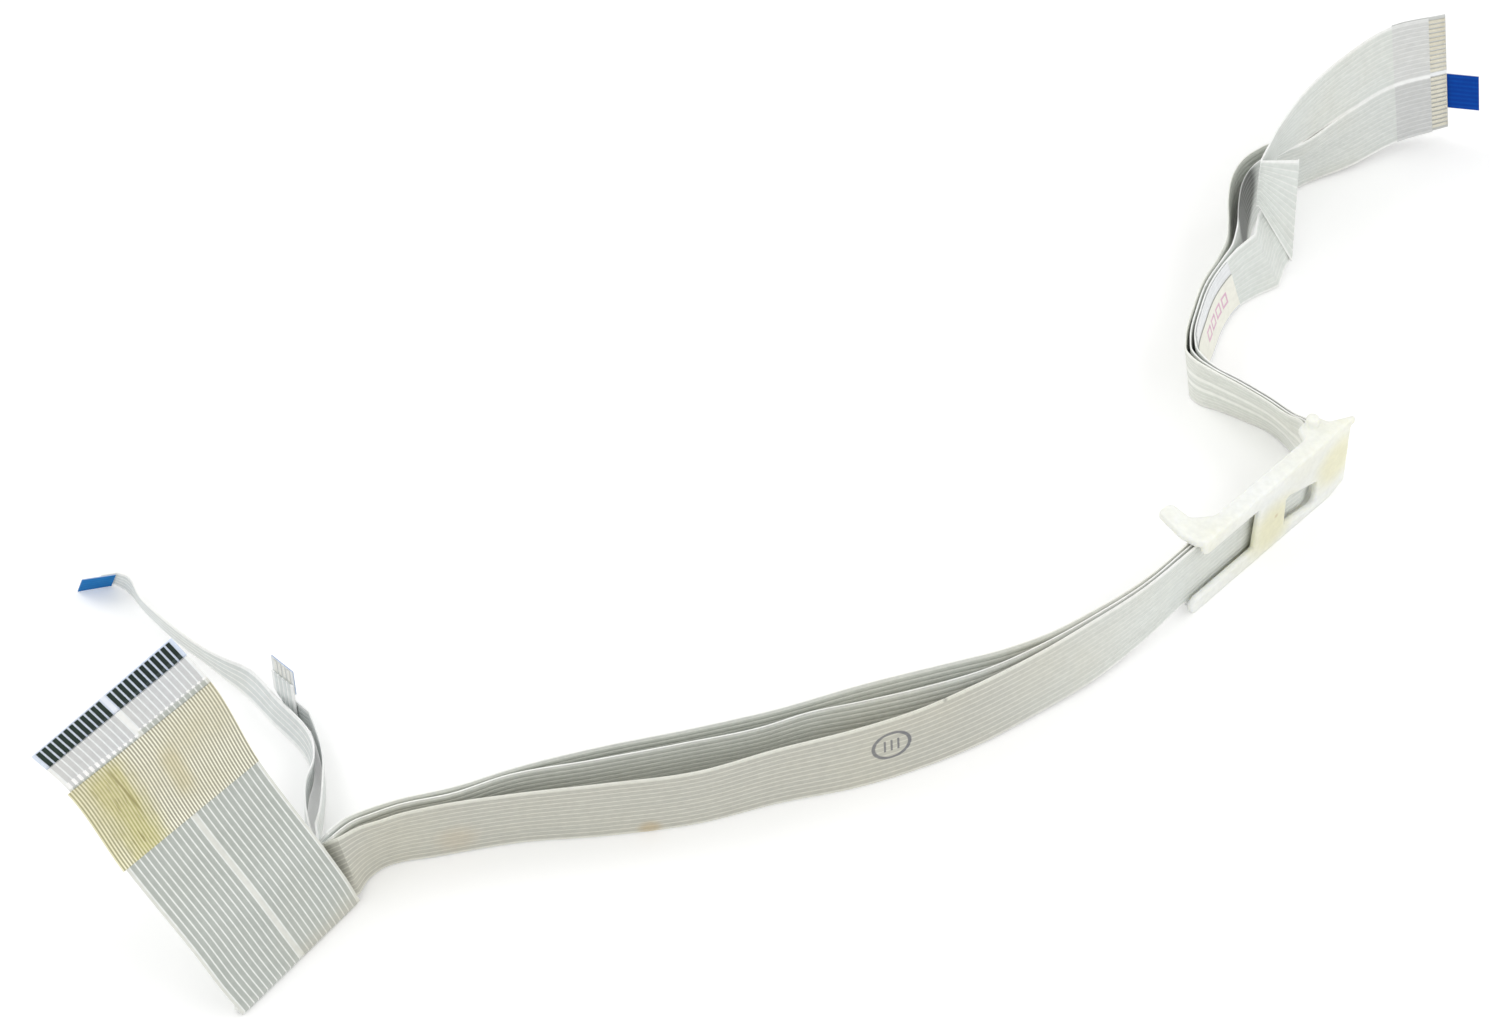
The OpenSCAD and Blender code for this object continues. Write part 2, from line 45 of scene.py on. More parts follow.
def placeCamera(view):
    data = bpy.data.cameras.new("photoCamera")
    data.lens = view["lens"]
    data.sensor_width = 36
    data.clip_start = 0.01
    camera = bpy.data.objects.new("photoCamera", data)
    bpy.context.scene.collection.objects.link(camera)
    tilt = math.radians(view["elevation"])
    x, y, z = view["target"]
    away, up = view["distance"] * math.cos(tilt), view["distance"] * math.sin(tilt)
    camera.location = (x * mm, (y - away) * mm, (z + up) * mm)
    camera.rotation_euler = (math.pi / 2 - tilt, 0, 0)
    bpy.context.scene.camera = camera


placeCamera(cameraView)
bpy.context.scene.view_settings.view_transform = "Standard"
print("camera placed")


# Nodes are put together with a few short calls
def put(tree, kind, **settings):
    node = tree.nodes.new(kind)
    for name, value in settings.items():
        setattr(node, name, value)
    return node


def feed(tree, socket, value):
    if isinstance(value, bpy.types.NodeSocket):
        tree.links.new(value, socket)
    else:
        socket.default_value = value


def calc(tree, operation, *values):
    node = put(tree, "ShaderNodeMath", operation=operation)
    for socket, value in zip(node.inputs, values):
        feed(tree, socket, value)
    return node.outputs[0]


def blendColour(tree, factor, first, second, mode="MIX"):
    node = put(tree, "ShaderNodeMix", data_type="RGBA", blend_type=mode)
    feed(tree, node.inputs[0], factor)
    for socket, value in ((node.inputs[6], first), (node.inputs[7], second)):
        feed(tree, socket, value if isinstance(value, bpy.types.NodeSocket) else (*value[:3], 1))
    return node.outputs[2]


def distanceFrom(tree, value, centre):
    return calc(tree, "ABSOLUTE", calc(tree, "SUBTRACT", value, centre))


def frontFace(tree):  # 1 on a sheet's front face, 0 on its back
    return put(tree, "ShaderNodeAttribute", attribute_name="frontFace").outputs["Fac"]


def ramp(tree, value, low, high, fromValue=0.0, toValue=1.0):  # smooth step between two values
    node = put(tree, "ShaderNodeMapRange", interpolation_type="SMOOTHSTEP")
    for socket, number in zip(node.inputs, (value, low, high, fromValue, toValue)):
        feed(tree, socket, number)
    return node.outputs[0]


def noise(tree, scale, detail=3.0, stretch=(1, 1, 1), coords=None):
    mapping = put(tree, "ShaderNodeMapping")
    tree.links.new(coords or put(tree, "ShaderNodeTexCoord").outputs["Object"], mapping.inputs["Vector"])
    mapping.inputs["Scale"].default_value = stretch
    node = put(tree, "ShaderNodeTexNoise")
    tree.links.new(mapping.outputs[0], node.inputs["Vector"])
    node.inputs["Scale"].default_value = scale
    node.inputs["Detail"].default_value = detail
    return node.outputs[0]


def newGroup(name, inputs, outputs):
    tree = bpy.data.node_groups.new(name, "ShaderNodeTree")
    for direction, sockets in (("INPUT", inputs), ("OUTPUT", outputs)):
        for label, kind in sockets:
            tree.interface.new_socket(name=label, in_out=direction, socket_type="NodeSocket" + kind)
    return tree, tree.nodes.new("NodeGroupInput").outputs, tree.nodes.new("NodeGroupOutput").inputs


def useGroup(tree, group, **values):
    node = put(tree, "ShaderNodeGroup", node_tree=group)
    for label, value in values.items():
        feed(tree, node.inputs[label], value)
    return node.outputs


# Bands of flat conductors seen through the film: 1 over each, 0 between them, in the margins and at gaps
def makeBandGroup():
    tree, given, result = newGroup(
        "conductorBands",
        [("Across", "Float"), ("Width", "Float"), ("GapA", "Float"), ("GapB", "Float"), ("Band", "Float")],
        [("Mask", "Float"), ("Between", "Float"), ("Gap", "Float")])
    across = given["Across"]
    shifted = calc(tree, "ADD", across, 0.5)
    off = distanceFrom(tree, calc(tree, "FRACT", shifted), 0.5)
    half = calc(tree, "MULTIPLY", given["Band"], 0.5)
    bar = ramp(tree, calc(tree, "SUBTRACT", off, half), -0.035, 0.035, 1.0, 0.0)
    nearest = calc(tree, "FLOOR", shifted)
    live = calc(tree, "MULTIPLY", calc(tree, "GREATER_THAN", nearest, 0.5),
                calc(tree, "LESS_THAN", nearest, calc(tree, "SUBTRACT", given["Width"], 0.5)))
    for gap in ("GapA", "GapB"):
        live = calc(tree, "MULTIPLY", live, calc(
            tree, "GREATER_THAN", distanceFrom(tree, nearest, given[gap]), 0.5))
    tree.links.new(calc(tree, "MULTIPLY", bar, live), result["Mask"])
    tree.links.new(ramp(tree, off, 0.2, 0.28), result["Between"])
    gap = calc(tree, "MULTIPLY", calc(tree, "SUBTRACT", 1.0, live), ramp(tree, off, 0.36, 0.42, 1.0, 0.0))
    tree.links.new(gap, result["Gap"])
    return tree


# Small changes of tone, soft yellowing in patches, and handling marks on any plastic or paper
def makeAgeGroup():
    tree, given, result = newGroup(
        "agedSurface",
        [("Colour", "Color"), ("Yellowed", "Color"), ("Amount", "Float"), ("Roughness", "Float")],
        [("Colour", "Color"), ("Roughness", "Float"), ("Height", "Float")])
    patches = ramp(tree, noise(tree, 38, 4), 0.42, 0.72)
    fine = noise(tree, 900, 3)
    scuffs = ramp(tree, noise(tree, 260, 5, (1, 1, 2.5)), 0.62, 0.74)
    tone = blendColour(tree, calc(tree, "MULTIPLY", patches, given["Amount"]), given["Colour"], given["Yellowed"])
    shade = ramp(tree, fine, 0.3, 0.7, 0.965, 1.03)
    spread = put(tree, "ShaderNodeCombineXYZ")
    for socket in spread.inputs:
        tree.links.new(shade, socket)
    tree.links.new(blendColour(tree, 1.0, tone, spread.outputs[0], "MULTIPLY"), result["Colour"])
    rough = calc(tree, "ADD", given["Roughness"], calc(tree, "MULTIPLY", scuffs, 0.14))
    tree.links.new(calc(tree, "ADD", rough, calc(tree, "MULTIPLY", fine, 0.06)), result["Roughness"])
    tree.links.new(calc(tree, "ADD", calc(tree, "MULTIPLY", scuffs, -0.4), fine), result["Height"])
    return tree


bandGroup = makeBandGroup()
ageGroup = makeAgeGroup()


def newMaterial(name, **shader):
    material = bpy.data.materials.new(name)
    material.use_nodes = True
    tree = material.node_tree
    surface = tree.nodes["Principled BSDF"]
    for label, value in shader.items():
        surface.inputs[label].default_value = value
    return material, tree, surface


def finishAged(tree, surface, colour, look, height=None):
    aged = useGroup(tree, ageGroup, Colour=colour if isinstance(colour, bpy.types.NodeSocket) else (*colour, 1),
                    Yellowed=(*look["yellowed"], 1), Amount=look["amount"], Roughness=look["roughness"])
    tree.links.new(aged["Colour"], surface.inputs["Base Color"])
    tree.links.new(aged["Roughness"], surface.inputs["Roughness"])
    bump = put(tree, "ShaderNodeBump")
    bump.inputs["Strength"].default_value = look.get("bump", 0.12)
    bump.inputs["Distance"].default_value = 0.00005
    feed(tree, bump.inputs["Height"], aged["Height"] if height is None else calc(tree, "ADD", aged["Height"], height))
    tree.links.new(bump.outputs[0], surface.inputs["Normal"])


def pieceCoords(tree):  # the piece's own map: millimetres across and along
    split = put(tree, "ShaderNodeSeparateXYZ")
    uv = put(tree, "ShaderNodeUVMap", uv_map="UVMap")
    tree.links.new(uv.outputs[0], split.inputs[0])
    return split.outputs[0], split.outputs[1], uv.outputs[0]


def spotNear(tree, place, reach, squash=(1, 1, 1)):  # 1 at a place on the object, 0 past its reach
    away = put(tree, "ShaderNodeVectorMath", operation="SUBTRACT")
    tree.links.new(put(tree, "ShaderNodeTexCoord").outputs["Object"], away.inputs[0])
    away.inputs[1].default_value = [v * mm for v in place]
    scaled = put(tree, "ShaderNodeVectorMath", operation="MULTIPLY")
    tree.links.new(away.outputs[0], scaled.inputs[0])
    scaled.inputs[1].default_value = squash
    size = put(tree, "ShaderNodeVectorMath", operation="LENGTH")
    tree.links.new(scaled.outputs[0], size.inputs[0])
    return ramp(tree, size.outputs["Value"], reach * 0.25 * mm, reach * mm, 1.0, 0.0)


# Surfaces: a cubic curve through rows of points, each row at its own distance from the one before
def unit(vectors):
    return vectors / np.maximum(np.linalg.norm(vectors, axis=-1, keepdims=True), 1e-12)


def slopesThrough(values, gaps):
    slope = np.diff(values, axis=0) / gaps
    inner = (slope[:-1] * gaps[1:] + slope[1:] * gaps[:-1]) / (gaps[:-1] + gaps[1:])
    return slope, np.concatenate([slope[:1], inner, slope[-1:]])


def curveThrough(table, at):  # the first column of the table is the distance, the others are values
    table, at = np.asarray(table, float), np.asarray(at, float)
    knots, values = table[:, 0], table[:, 1:]
    gaps = np.diff(knots)[:, None]
    slope, tangent = slopesThrough(values, gaps)
    i = np.clip(np.searchsorted(knots, at, side="right") - 1, 0, len(gaps) - 1)
    h = gaps[i]
    t = (at - knots[i])[:, None] / h
    return ((2 * t**3 - 3 * t**2 + 1) * values[i] + (t**3 - 2 * t**2 + t) * h * tangent[i]
            + (3 * t**2 - 2 * t**3) * values[i + 1] + (t**3 - t**2) * h * tangent[i + 1])


def rowsAt(rows, straight, at):  # the same curve through whole rows, at row numbers with fractions
    gaps = np.maximum(np.linalg.norm(np.diff(rows, axis=0), axis=2).mean(axis=1), 0.03)[:, None, None]
    slope, tangent = slopesThrough(rows, gaps)
    flat = np.asarray(straight, bool)
    before = np.concatenate([[True], flat])  # a straight stretch ends at this row
    after = np.concatenate([flat, [True]])
    leaving = np.where((before | after)[:, None, None], np.concatenate([slope, slope[-1:]]), tangent)
    arriving = np.where((before | after)[:, None, None], np.concatenate([slope[:1], slope]), tangent)
    i = np.clip(np.floor(at).astype(int), 0, len(gaps) - 1)
    t, h = (at - i)[:, None, None], gaps[i]
    curved = ((2 * t**3 - 3 * t**2 + 1) * rows[i] + (t**3 - 2 * t**2 + t) * h * leaving[i]
              + (3 * t**2 - 2 * t**3) * rows[i + 1] + (t**3 - t**2) * h * arriving[i + 1])
    return np.where(flat[i][:, None, None], rows[i] + (rows[i + 1] - rows[i]) * t, curved)


def placesAlong(rows, straight, step, first=0.0, last=None):
    last = len(rows) - 1 if last is None else last
    gaps = np.linalg.norm(np.diff(rows, axis=0), axis=2).max(axis=1)
    counts = np.maximum(np.ceil(gaps / np.where(straight, step * 1.6, step)).astype(int), 1)
    inner = np.concatenate([i + np.arange(n) / n for i, n in enumerate(counts)])
    inner = inner[(inner > first + 1e-3) & (inner < last - 1e-3)]
    return np.concatenate([[first], inner, [last]])


# A closed sheet: both faces stand square to the middle surface, and walls close its edges
def closedSheet(rows, cols, half, lift=0.0, start=0.0):
    step = np.diff(rows, axis=0)
    heading = unit(step)
    along = np.concatenate([heading[:1], heading[:-1] + heading[1:], heading[-1:]])
    wide = np.concatenate([rows[:, 1:2] - rows[:, :1], rows[:, 2:] - rows[:, :-2],
                           rows[:, -1:] - rows[:, -2:-1]], axis=1)
    normal = unit(np.cross(along, wide))
    half = np.broadcast_to(np.asarray(half, float), rows.shape[:2])[..., None]
    front, back = rows + normal * (lift + half), rows + normal * (lift - half)
    r, c = rows.shape[:2]
    distance = start + np.concatenate([[0], np.cumsum(np.linalg.norm(step, axis=2).mean(axis=1))])
    flatMap = np.stack(np.broadcast_arrays(np.asarray(cols, float)[None, :], distance[:, None]), axis=-1)
    flatMap = flatMap.reshape(-1, 2)
    f = np.arange(r * c).reshape(r, c)
    b = f + r * c
    quads = [
        np.stack([f[:-1, :-1], f[1:, :-1], f[1:, 1:], f[:-1, 1:]], -1),
        np.stack([b[:-1, :-1], b[:-1, 1:], b[1:, 1:], b[1:, :-1]], -1),
        np.stack([f[:-1, 0], b[:-1, 0], b[1:, 0], f[1:, 0]], -1),
        np.stack([f[1:, -1], b[1:, -1], b[:-1, -1], f[:-1, -1]], -1),
        np.stack([b[0, :-1], f[0, :-1], f[0, 1:], b[0, 1:]], -1),
        np.stack([f[-1, :-1], b[-1, :-1], b[-1, 1:], f[-1, 1:]], -1)]
    return {"points": np.concatenate([front.reshape(-1, 3), back.reshape(-1, 3)]),
            "quads": np.concatenate([q.reshape(-1, 4) for q in quads]),
            "map": np.concatenate([flatMap, flatMap]),
            "front": np.concatenate([np.ones(r * c), np.zeros(r * c)])}


def makePiece(name, sheets, material, slot, *nodes, sharp=38):
    offsets = np.cumsum([0] + [len(s["points"]) for s in sheets])
    points = np.concatenate([s["points"] for s in sheets]) * mm
    quads = np.concatenate([s["quads"] + o for s, o in zip(sheets, offsets)])
    uv = np.concatenate([s["map"] for s in sheets])
    mesh = bpy.data.meshes.new(name)
    mesh.vertices.add(len(points))
    mesh.vertices.foreach_set("co", points.ravel())
    mesh.loops.add(quads.size)
    mesh.loops.foreach_set("vertex_index", quads.ravel())
    mesh.polygons.add(len(quads))
    mesh.polygons.foreach_set("loop_start", np.arange(len(quads)) * 4)
    mesh.update(calc_edges=True)
    mesh.uv_layers.new(name="UVMap").data.foreach_set("uv", uv[quads.ravel()].ravel())
    mesh.attributes.new("frontFace", "FLOAT", "POINT").data.foreach_set(
        "value", np.concatenate([s["front"] for s in sheets]))
    mesh.polygons.foreach_set("use_smooth", np.ones(len(quads), bool))
    mesh.set_sharp_from_angle(angle=math.radians(sharp))
    mesh.validate()
    mesh.materials.append(material)
    return addPiece(bpy.data.objects.new(name, mesh), slot, *nodes)


def addPiece(piece, slot, *nodes):
    bpy.context.scene.collection.objects.link(piece)
    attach(piece, "root")
    if nodes:
        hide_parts(*nodes)
    print("made", piece.name, len(piece.data.polygons), "faces")
    return piece


# Film: a strip of flat conductors, one millimetre apart, that stand out a little on both faces
film = {"thickness": 0.22, "ridge": 0.055, "half": 13.0, "wide": 26.0, "tail": 5.0, "contact": 3.2, "slit": 0.1,
        "seam": 0.03, "floor": 0.2, "step": 0.9}
skin = film["thickness"] / 2 + 0.06


def filmColumns(first, last):
    offsets = np.array([-0.5, -0.39, -0.31, 0, 0.31, 0.39])
    inner = (np.arange(first + 1, last)[:, None] + offsets).ravel()
    return np.concatenate([[first], inner[inner > first + 0.4], [last - 0.5, last]])


def filmHalf(cols):  # half the thickness: flat over a conductor, lower between two
    off = np.abs(cols - np.round(cols))
    live = (np.round(cols) > cols[0] + 0.5) & (np.round(cols) < cols[-1] - 0.5)
    return film["thickness"] / 2 + film["ridge"] * live * np.clip((0.42 - off) / 0.1, 0, 1)


# The wide panel at the left: its near and far edges by distance from the tip
panel = {
    "near": [[0, -115, -81.4, 39.9], [8, -110.7, -82, 33.3], [24.5, -103.2, -86.8, 19.8], [40, -93.2, -95.8, 11.1],
             [46, -90, -98, 6.2], [52, -87.4, -98.7, 0.9]],
    "far": [[0, -95.8, -65.2, 47], [8, -91.6, -65.2, 38], [24.5, -85.4, -68, 21.6], [40, -75.8, -77.3, 12.8],
            [46, -73.1, -78.4, 7.1], [52, -71.5, -78.1, 0.9]],
    "length": 52, "nearTilt": 52, "farTilt": 68, "layer": 0.5, "lift": 0.5, "squeeze": 0.87,
}


def panelRows(distances, cols):
    near, far = (curveThrough(panel[edge], distances)[:, None] for edge in ("near", "far"))
    return near + (far - near) * (np.asarray(cols) / film["wide"])[None, :, None]


creaseStart = np.array(panel["near"][-1][1:])
creaseWay = unit(np.array(panel["far"][-1][1:]) - creaseStart)
creaseInward = np.array([-creaseWay[1], creaseWay[0], 0])
turnRadius = panel["layer"] / 2


# Under the panel each point lies so far along the crease, up the leaning layers, and back from the first
def foldPoint(along, rise, depth):
    along, rise, depth = np.broadcast_arrays(*(np.asarray(v, float) for v in (along, rise, depth)))
    tilt = np.radians(panel["nearTilt"] + (panel["farTilt"] - panel["nearTilt"]) * along / film["wide"])[..., None]
    up = np.array([0, 0, 1.0])
    upLayer = creaseInward * np.cos(tilt) + up * np.sin(tilt)
    backward = creaseInward * np.sin(tilt) - up * np.cos(tilt)
    return creaseStart + creaseWay * along[..., None] + upLayer * rise[..., None] + backward * depth[..., None]


def foldRows(first, cols, depth):
    rise, r, layer = panel["squeeze"] * cols + panel["lift"], turnRadius, panel["layer"]
    across = first + panel["squeeze"] * cols
    return np.stack([foldPoint(first + cols, -r, layer / 2), foldPoint(first + cols, 0, layer),
                     foldPoint(across, rise, layer), foldPoint(across - r, rise + r, (layer + depth) / 2),
                     foldPoint(across, rise, depth)])


def underRow(cols, depth):
    return foldPoint(film["wide"] - 0.8, panel["squeeze"] * cols + panel["lift"], depth)[None]


# A run stands on edge: each stop is x, y, height of the lower edge, and how far the upper edge leans in x and y
def runRows(stops, cols, width):
    stops = np.asarray(stops, float)
    lean = stops[:, 3:5]
    top = np.column_stack([lean, np.sqrt(width**2 - (lean**2).sum(axis=1))])
    return stops[:, None, :3] + top[:, None] * (np.asarray(cols, float) / width)[None, :, None]


low = film["floor"]
seat = 1.8
frontRun = [
    [-71.6, -76.9, 0.8, -2.4, 1], [-70.4, -73.8, 0.4, -0.5, 0.1], [-68.1, -71.4, low, 0.2, -0.9],
    [-65.9, -70.5, low, 0.3, -0.8], [-61, -69.5, low, 0.1, -0.4], [-47.6, -66.7, low, 0, -0.6],
    [-35, -65.5, low, 0, 0], [-20, -63, low, 0, 0], [-8, -59.2, low, -0.3, 0.4],
    [5, -55.9, low, -0.7, 1.2], [14.4, -52.3, low, -0.7, 1.4], [23, -48.1, 0.3, -1, 1.7],
    [33.8, -41.2, 0.5, -1, 1.4], [42, -35.5, 0.8, -1.1, 1.4], [50.5, -27.8, 1.2, -0.5, 0.5],
    [58.1, -19.7, seat, 0, 0], [66, -11.4, seat, 0, 0], [76, -1.1, seat, 0, 0], [80, 3.1, seat, 0, 0],
    [81, 5.2, seat, -0.2, 0], [81.2, 9, seat, -0.8, -0.3], [81, 13.5, 1, -2.8, -1.7],
    [77.3, 20.6, low, -2.8, -3.6], [72.6, 24, low, -2.6, -3.2], [68.6, 26.3, low, -2.7, -2.4],
    [66, 28, low, -2, -1.8], [65.3, 29.3, low, -2, -1.5], [65.6, 31, low, -2.4, -1.5],
    [68.3, 39.2, low, -3.4, -1.5], [70.6, 45.4, low, -3.5, -1.6], [73.9, 50.6, low, -3.7, -1.4],
    [77.1, 53.1, low, -4.7, -0.6]]
backRun = [
    [-72.3, -76.5, 0.9, -2.4, 1.1], [-71.7, -74.8, 0.7, -1.7, 0.9], [-71, -73.4, 0.5, -1.2, 0.7],
    [-68.8, -70.8, low, -0.5, -0.2], [-66.2, -69.6, low, 0, 0], [-57, -67, low, 0, 0],
    [-49.5, -63.8, low, 0, 0],
    [-36, -60.7, low, 0, 0], [-23, -57.6, low, 0, 0], [-10, -54.4, low, -0.1, 0.2],
    [-3, -52.4, low, -0.5, 0.9],
    [6, -50.6, low, -0.8, 1.5], [15, -48.3, low, -1, 1.8], [26, -44.3, 0.3, -1.1, 1.8],
    [35.5, -39, 0.5, -1.2, 1.7],
    [43.2, -33.4, 0.8, -1, 1.3], [51.1, -26.3, 1.2, -0.4, 0.5], [57.6, -19.2, seat, 0, 0],
    [65.5, -11, seat, 0, 0],
    [75.5, -0.6, seat, 0, 0], [79.2, 3.3, seat, 0, 0], [80.2, 5.3, seat, -0.2, 0],
    [80.5, 9, seat, -0.8, -0.3],
    [80.4, 13.4, 1, -2.8, -1.7], [76.8, 20.3, low, -2.8, -3.6], [72.3, 23.5, low, -2.6, -3.2],
    [68.3, 25.8, low, -2.7, -2.4], [65.2, 27.6, low, -2, -1.8], [64.4, 29, low, -2, -1.5],
    [64.8, 31.2, low, -2.4, -1.5],
    [67.7, 39.5, low, -3.4, -1.5], [70, 45.8, low, -3.5, -1.6], [73.2, 51, low, -3.5, -1.2],
    [75, 54, low, -3.3, -0.6],
    [75.6, 56, low, -3.2, -0.3], [76, 58.2, low, -3, 0], [76.5, 63, low, -2.8, 0.4],
    [77.3, 68, low, -2.4, 0.8], [79.2, 72.6, low, -2.1, 0.4],
    [81.6, 76, low, -2, -0.6], [84.4, 78.7, low, -1.9, -1.6]]
narrowRun = [
    [-73.2, -76, 1, -2.4, 1.2], [-71.9, -73, 0.6, -1.3, 0.8], [-69.3, -70.1, low, -0.5, 0],
    [-66.4, -68.7, low, 0, 0], [-57, -65.9, low, 0, 0], [-47.7, -62.2, low, 0, 0], [-36, -58.5, low, 0, 0],
    [-22, -54.9, low, 0, 0], [-8, -51.3, low, -0.3, 0.4], [6, -47.6, low, -1, 1.7], [20, -43.2, low, -1, 1.8],
    [28.5, -40.6, 0.3, -1.1, 1.8], [35.5, -37.6, 0.5, -1.2, 1.7], [42.8, -32.7, 0.8, -1, 1.3],
    [50.7, -25.8, 1.2, -0.4, 0.5], [57.2, -18.8, seat, 0, 0], [65, -10.5, seat, 0, 0], [75, -0.1, seat, 0, 0],
    [78.4, 3.6, seat, 0, 0], [79.4, 5.5, seat, -0.2, 0], [79.8, 9, seat, -0.8, -0.3],
    [79.8, 13.2, 1, -2.8, -1.7],
    [76.4, 19.9, low, -2.8, -3.6], [72, 23, low, -2.6, -3.2], [68, 25.3, low, -2.7, -2.4],
    [64.6, 27, low, -2, -1.8],
    [63.5, 28.6, low, -2, -1.5], [64, 31.4, low, -2.4, -1.5], [67.1, 39.8, low, -3.4, -1.5],
    [69.4, 46.1, low, -3.5, -1.6],
    [72.5, 51.5, low, -3.4, -1], [73.9, 54.8, low, -3.2, -0.4], [74.3, 59, low, -2.9, 0],
    [74.6, 64, low, -2.7, 0.4],
    [75.5, 69, low, -2.5, 0.8], [77.6, 74, low, -2.2, 0.6], [81.2, 78.6, low, -2, -0.6],
    [86.2, 82.4, 0.3, -1.8, -1.6],
    [91, 85.3, 0.5, -1.9, -0.6], [96.5, 88.1, 0.8, -2, 0.4], [104.8, 93.1, 1.4, -2, 0.3],
    [113.5, 95.8, 2, -2, 0.3]]
wideRun = [[87.2, 81, 0.3, -3.6, -5.2], [97.6, 86.3, 1, -4, 0.8], [106, 91.3, 2, -4.1, 2], [116, 94.4, 3, -4.1, 1]]
wideEnd = float(np.linalg.norm(np.array(wideRun[3][:3]) - np.array(wideRun[2][:3])))

# The front half's fold lines at the right, each by distance across the ribbon
packFold = {
    "meet": [[0, 81.3, 55.5, 0.25], [13, 75.8, 55.9, 12.6]],
    "turn": [[0, 82.6, 59.3, 0.6], [13, 77, 61.3, 12.4]],
    "low": [[0, 83.7, 60.6, 1.5], [13, 83.7, 67.4, 19.6]],
    "high": [[0, 76.6, 61.4, 14.2], [13, 76.6, 62.4, 24]],
    "over": [[0, 81.5, 75, 13.3], [13, 79.7, 69.3, 25]],
}


def lineRow(name, cols):
    table = np.array(packFold[name], float)
    return np.column_stack([np.interp(cols, table[:, 0], table[:, k]) for k in (1, 2, 3)])


def tightCrease(before, row, after):  # one face's end, the bend, the other face's start
    along = unit(np.concatenate([row[1:2] - row[:1], row[2:] - row[:-2], row[-1:] - row[-2:-1]]))
    middle = unit(before - row) + unit(after - row)
    inward = unit(middle - along * (middle * along).sum(axis=1, keepdims=True))
    apart = np.cross(along, inward)
    return np.stack([row - apart * turnRadius, row - inward * turnRadius, row + apart * turnRadius])


def packRows(cols):
    meet, turn, fold, high, over = (lineRow(name, cols) for name in packFold)
    return np.concatenate([[meet, turn], tightCrease(turn, fold, high), tightCrease(fold, high, over), over[None]])


# Each half of the wide ribbon, tip to tip. first is where the half starts across the whole ribbon
def halfStrip(first, cols, slitCols, depth, run, pack):
    panelPart = panelRows(np.append(np.arange(film["contact"], 51, 1.2), 52.0), first + cols)
    folds = foldRows(first, slitCols, depth * panel["layer"])
    middle = [underRow(slitCols, depth * panel["layer"]), runRows(run, slitCols, film["half"])]
    if pack:
        middle.append(packRows(slitCols))
    end = runRows(wideRun, first + cols, film["wide"])
    rows = np.concatenate([panelPart, folds, *middle, end])
    straight = np.zeros(len(rows) - 1, bool)
    n = len(panelPart)
    straight[n - 1:n + 6] = True
    if pack:
        straight[n + 6 + len(run) - 1:len(rows) - 5] = True
    return rows, straight


def halfSheet(first, cols, slitCols, depth, run, pack):
    rows, straight = halfStrip(first, cols, slitCols, depth, run, pack)
    at = placesAlong(rows, straight, film["step"], 0, len(rows) - 1 - film["contact"] / wideEnd)
    return closedSheet(rowsAt(rows, straight, at), first + cols, filmHalf(cols), start=film["contact"])


halfCols = filmColumns(0, 13)
lowerCols = np.minimum(halfCols, film["half"] - film["slit"])
upperCols = np.maximum(halfCols, film["slit"])
backSheet = halfSheet(0, halfCols, lowerCols, 3, backRun, False)
frontSheet = halfSheet(13, halfCols, upperCols, 2, frontRun, True)
frontLength = float(frontSheet["map"][:, 1].max())
backLength = float(backSheet["map"][:, 1].max())

# The narrow ribbon: three strips side by side, of which the outer two go on as tails
longTail = [
    [-122.2, -15.2, low, 1.5, -1.5], [-116.6, -13.9, low, 1.5, -1.6], [-114.9, -14.9, low, 1.2, -1.2],
    [-110.3, -20.4, low, -0.4, -0.6], [-104.6, -26.6, low, -0.6, -0.2], [-99.3, -31.2, low, 0, -0.6],
    [-96.4, -34, low, 0.8, 0], [-94, -36.2, low, 1.6, 0.8], [-88.3, -42.6, low, 1.4, 1],
    [-81.3, -51.6, low, 1, 0.5], [-80.5, -54.2, low, 0.5, 0.1], [-80.9, -58.5, low, 0, 0],
    [-80.9, -62.8, low, 0.3, 0], [-79.9, -67.2, low, 0.3, 0.2], [-78, -71.5, low, 0, 0.4],
    [-75.6, -75.2, 0.3, -0.5, 0.8]]
shortTail = {
    "foot": (-83.3, -43.2, 0.4), "way": (-0.727, 0.686, 0), "front": (-0.34, -0.36, 0), "height": 12.6,
    "stops": [[-81.5, -44.9, 0.3, 0, 0], [-80.3, -48.2, low, 0.1, 0.1], [-79, -53.2, low, 0.3, 0.1],
              [-78.3, -58.6, low, 0, 0], [-78.2, -63.6, 0.6, 0, 0], [-77.9, -68.6, 3, -0.3, 0.3],
              [-77, -71.8, 5.6, -0.9, 0.8]],
}


def shortPoint(along, height, front):
    along, height, front = np.broadcast_arrays(*(np.asarray(v, float) for v in (along, height, front)))
    foot, way, face = (np.array(shortTail[k]) for k in ("foot", "way", "front"))
    return foot + way * along[..., None] + face * front[..., None] + np.array([0, 0, 1.0]) * height[..., None]


def shortUp(distances, cols):
    return np.stack([shortPoint(cols, shortTail["height"] - s, 1) for s in distances])


def narrowRows(cols):
    start = foldPoint(film["wide"] - 0.8, panel["squeeze"] * cols + panel["lift"], 4.4 * panel["layer"])[None]
    return np.concatenate([start, runRows(narrowRun, cols, film["half"])])


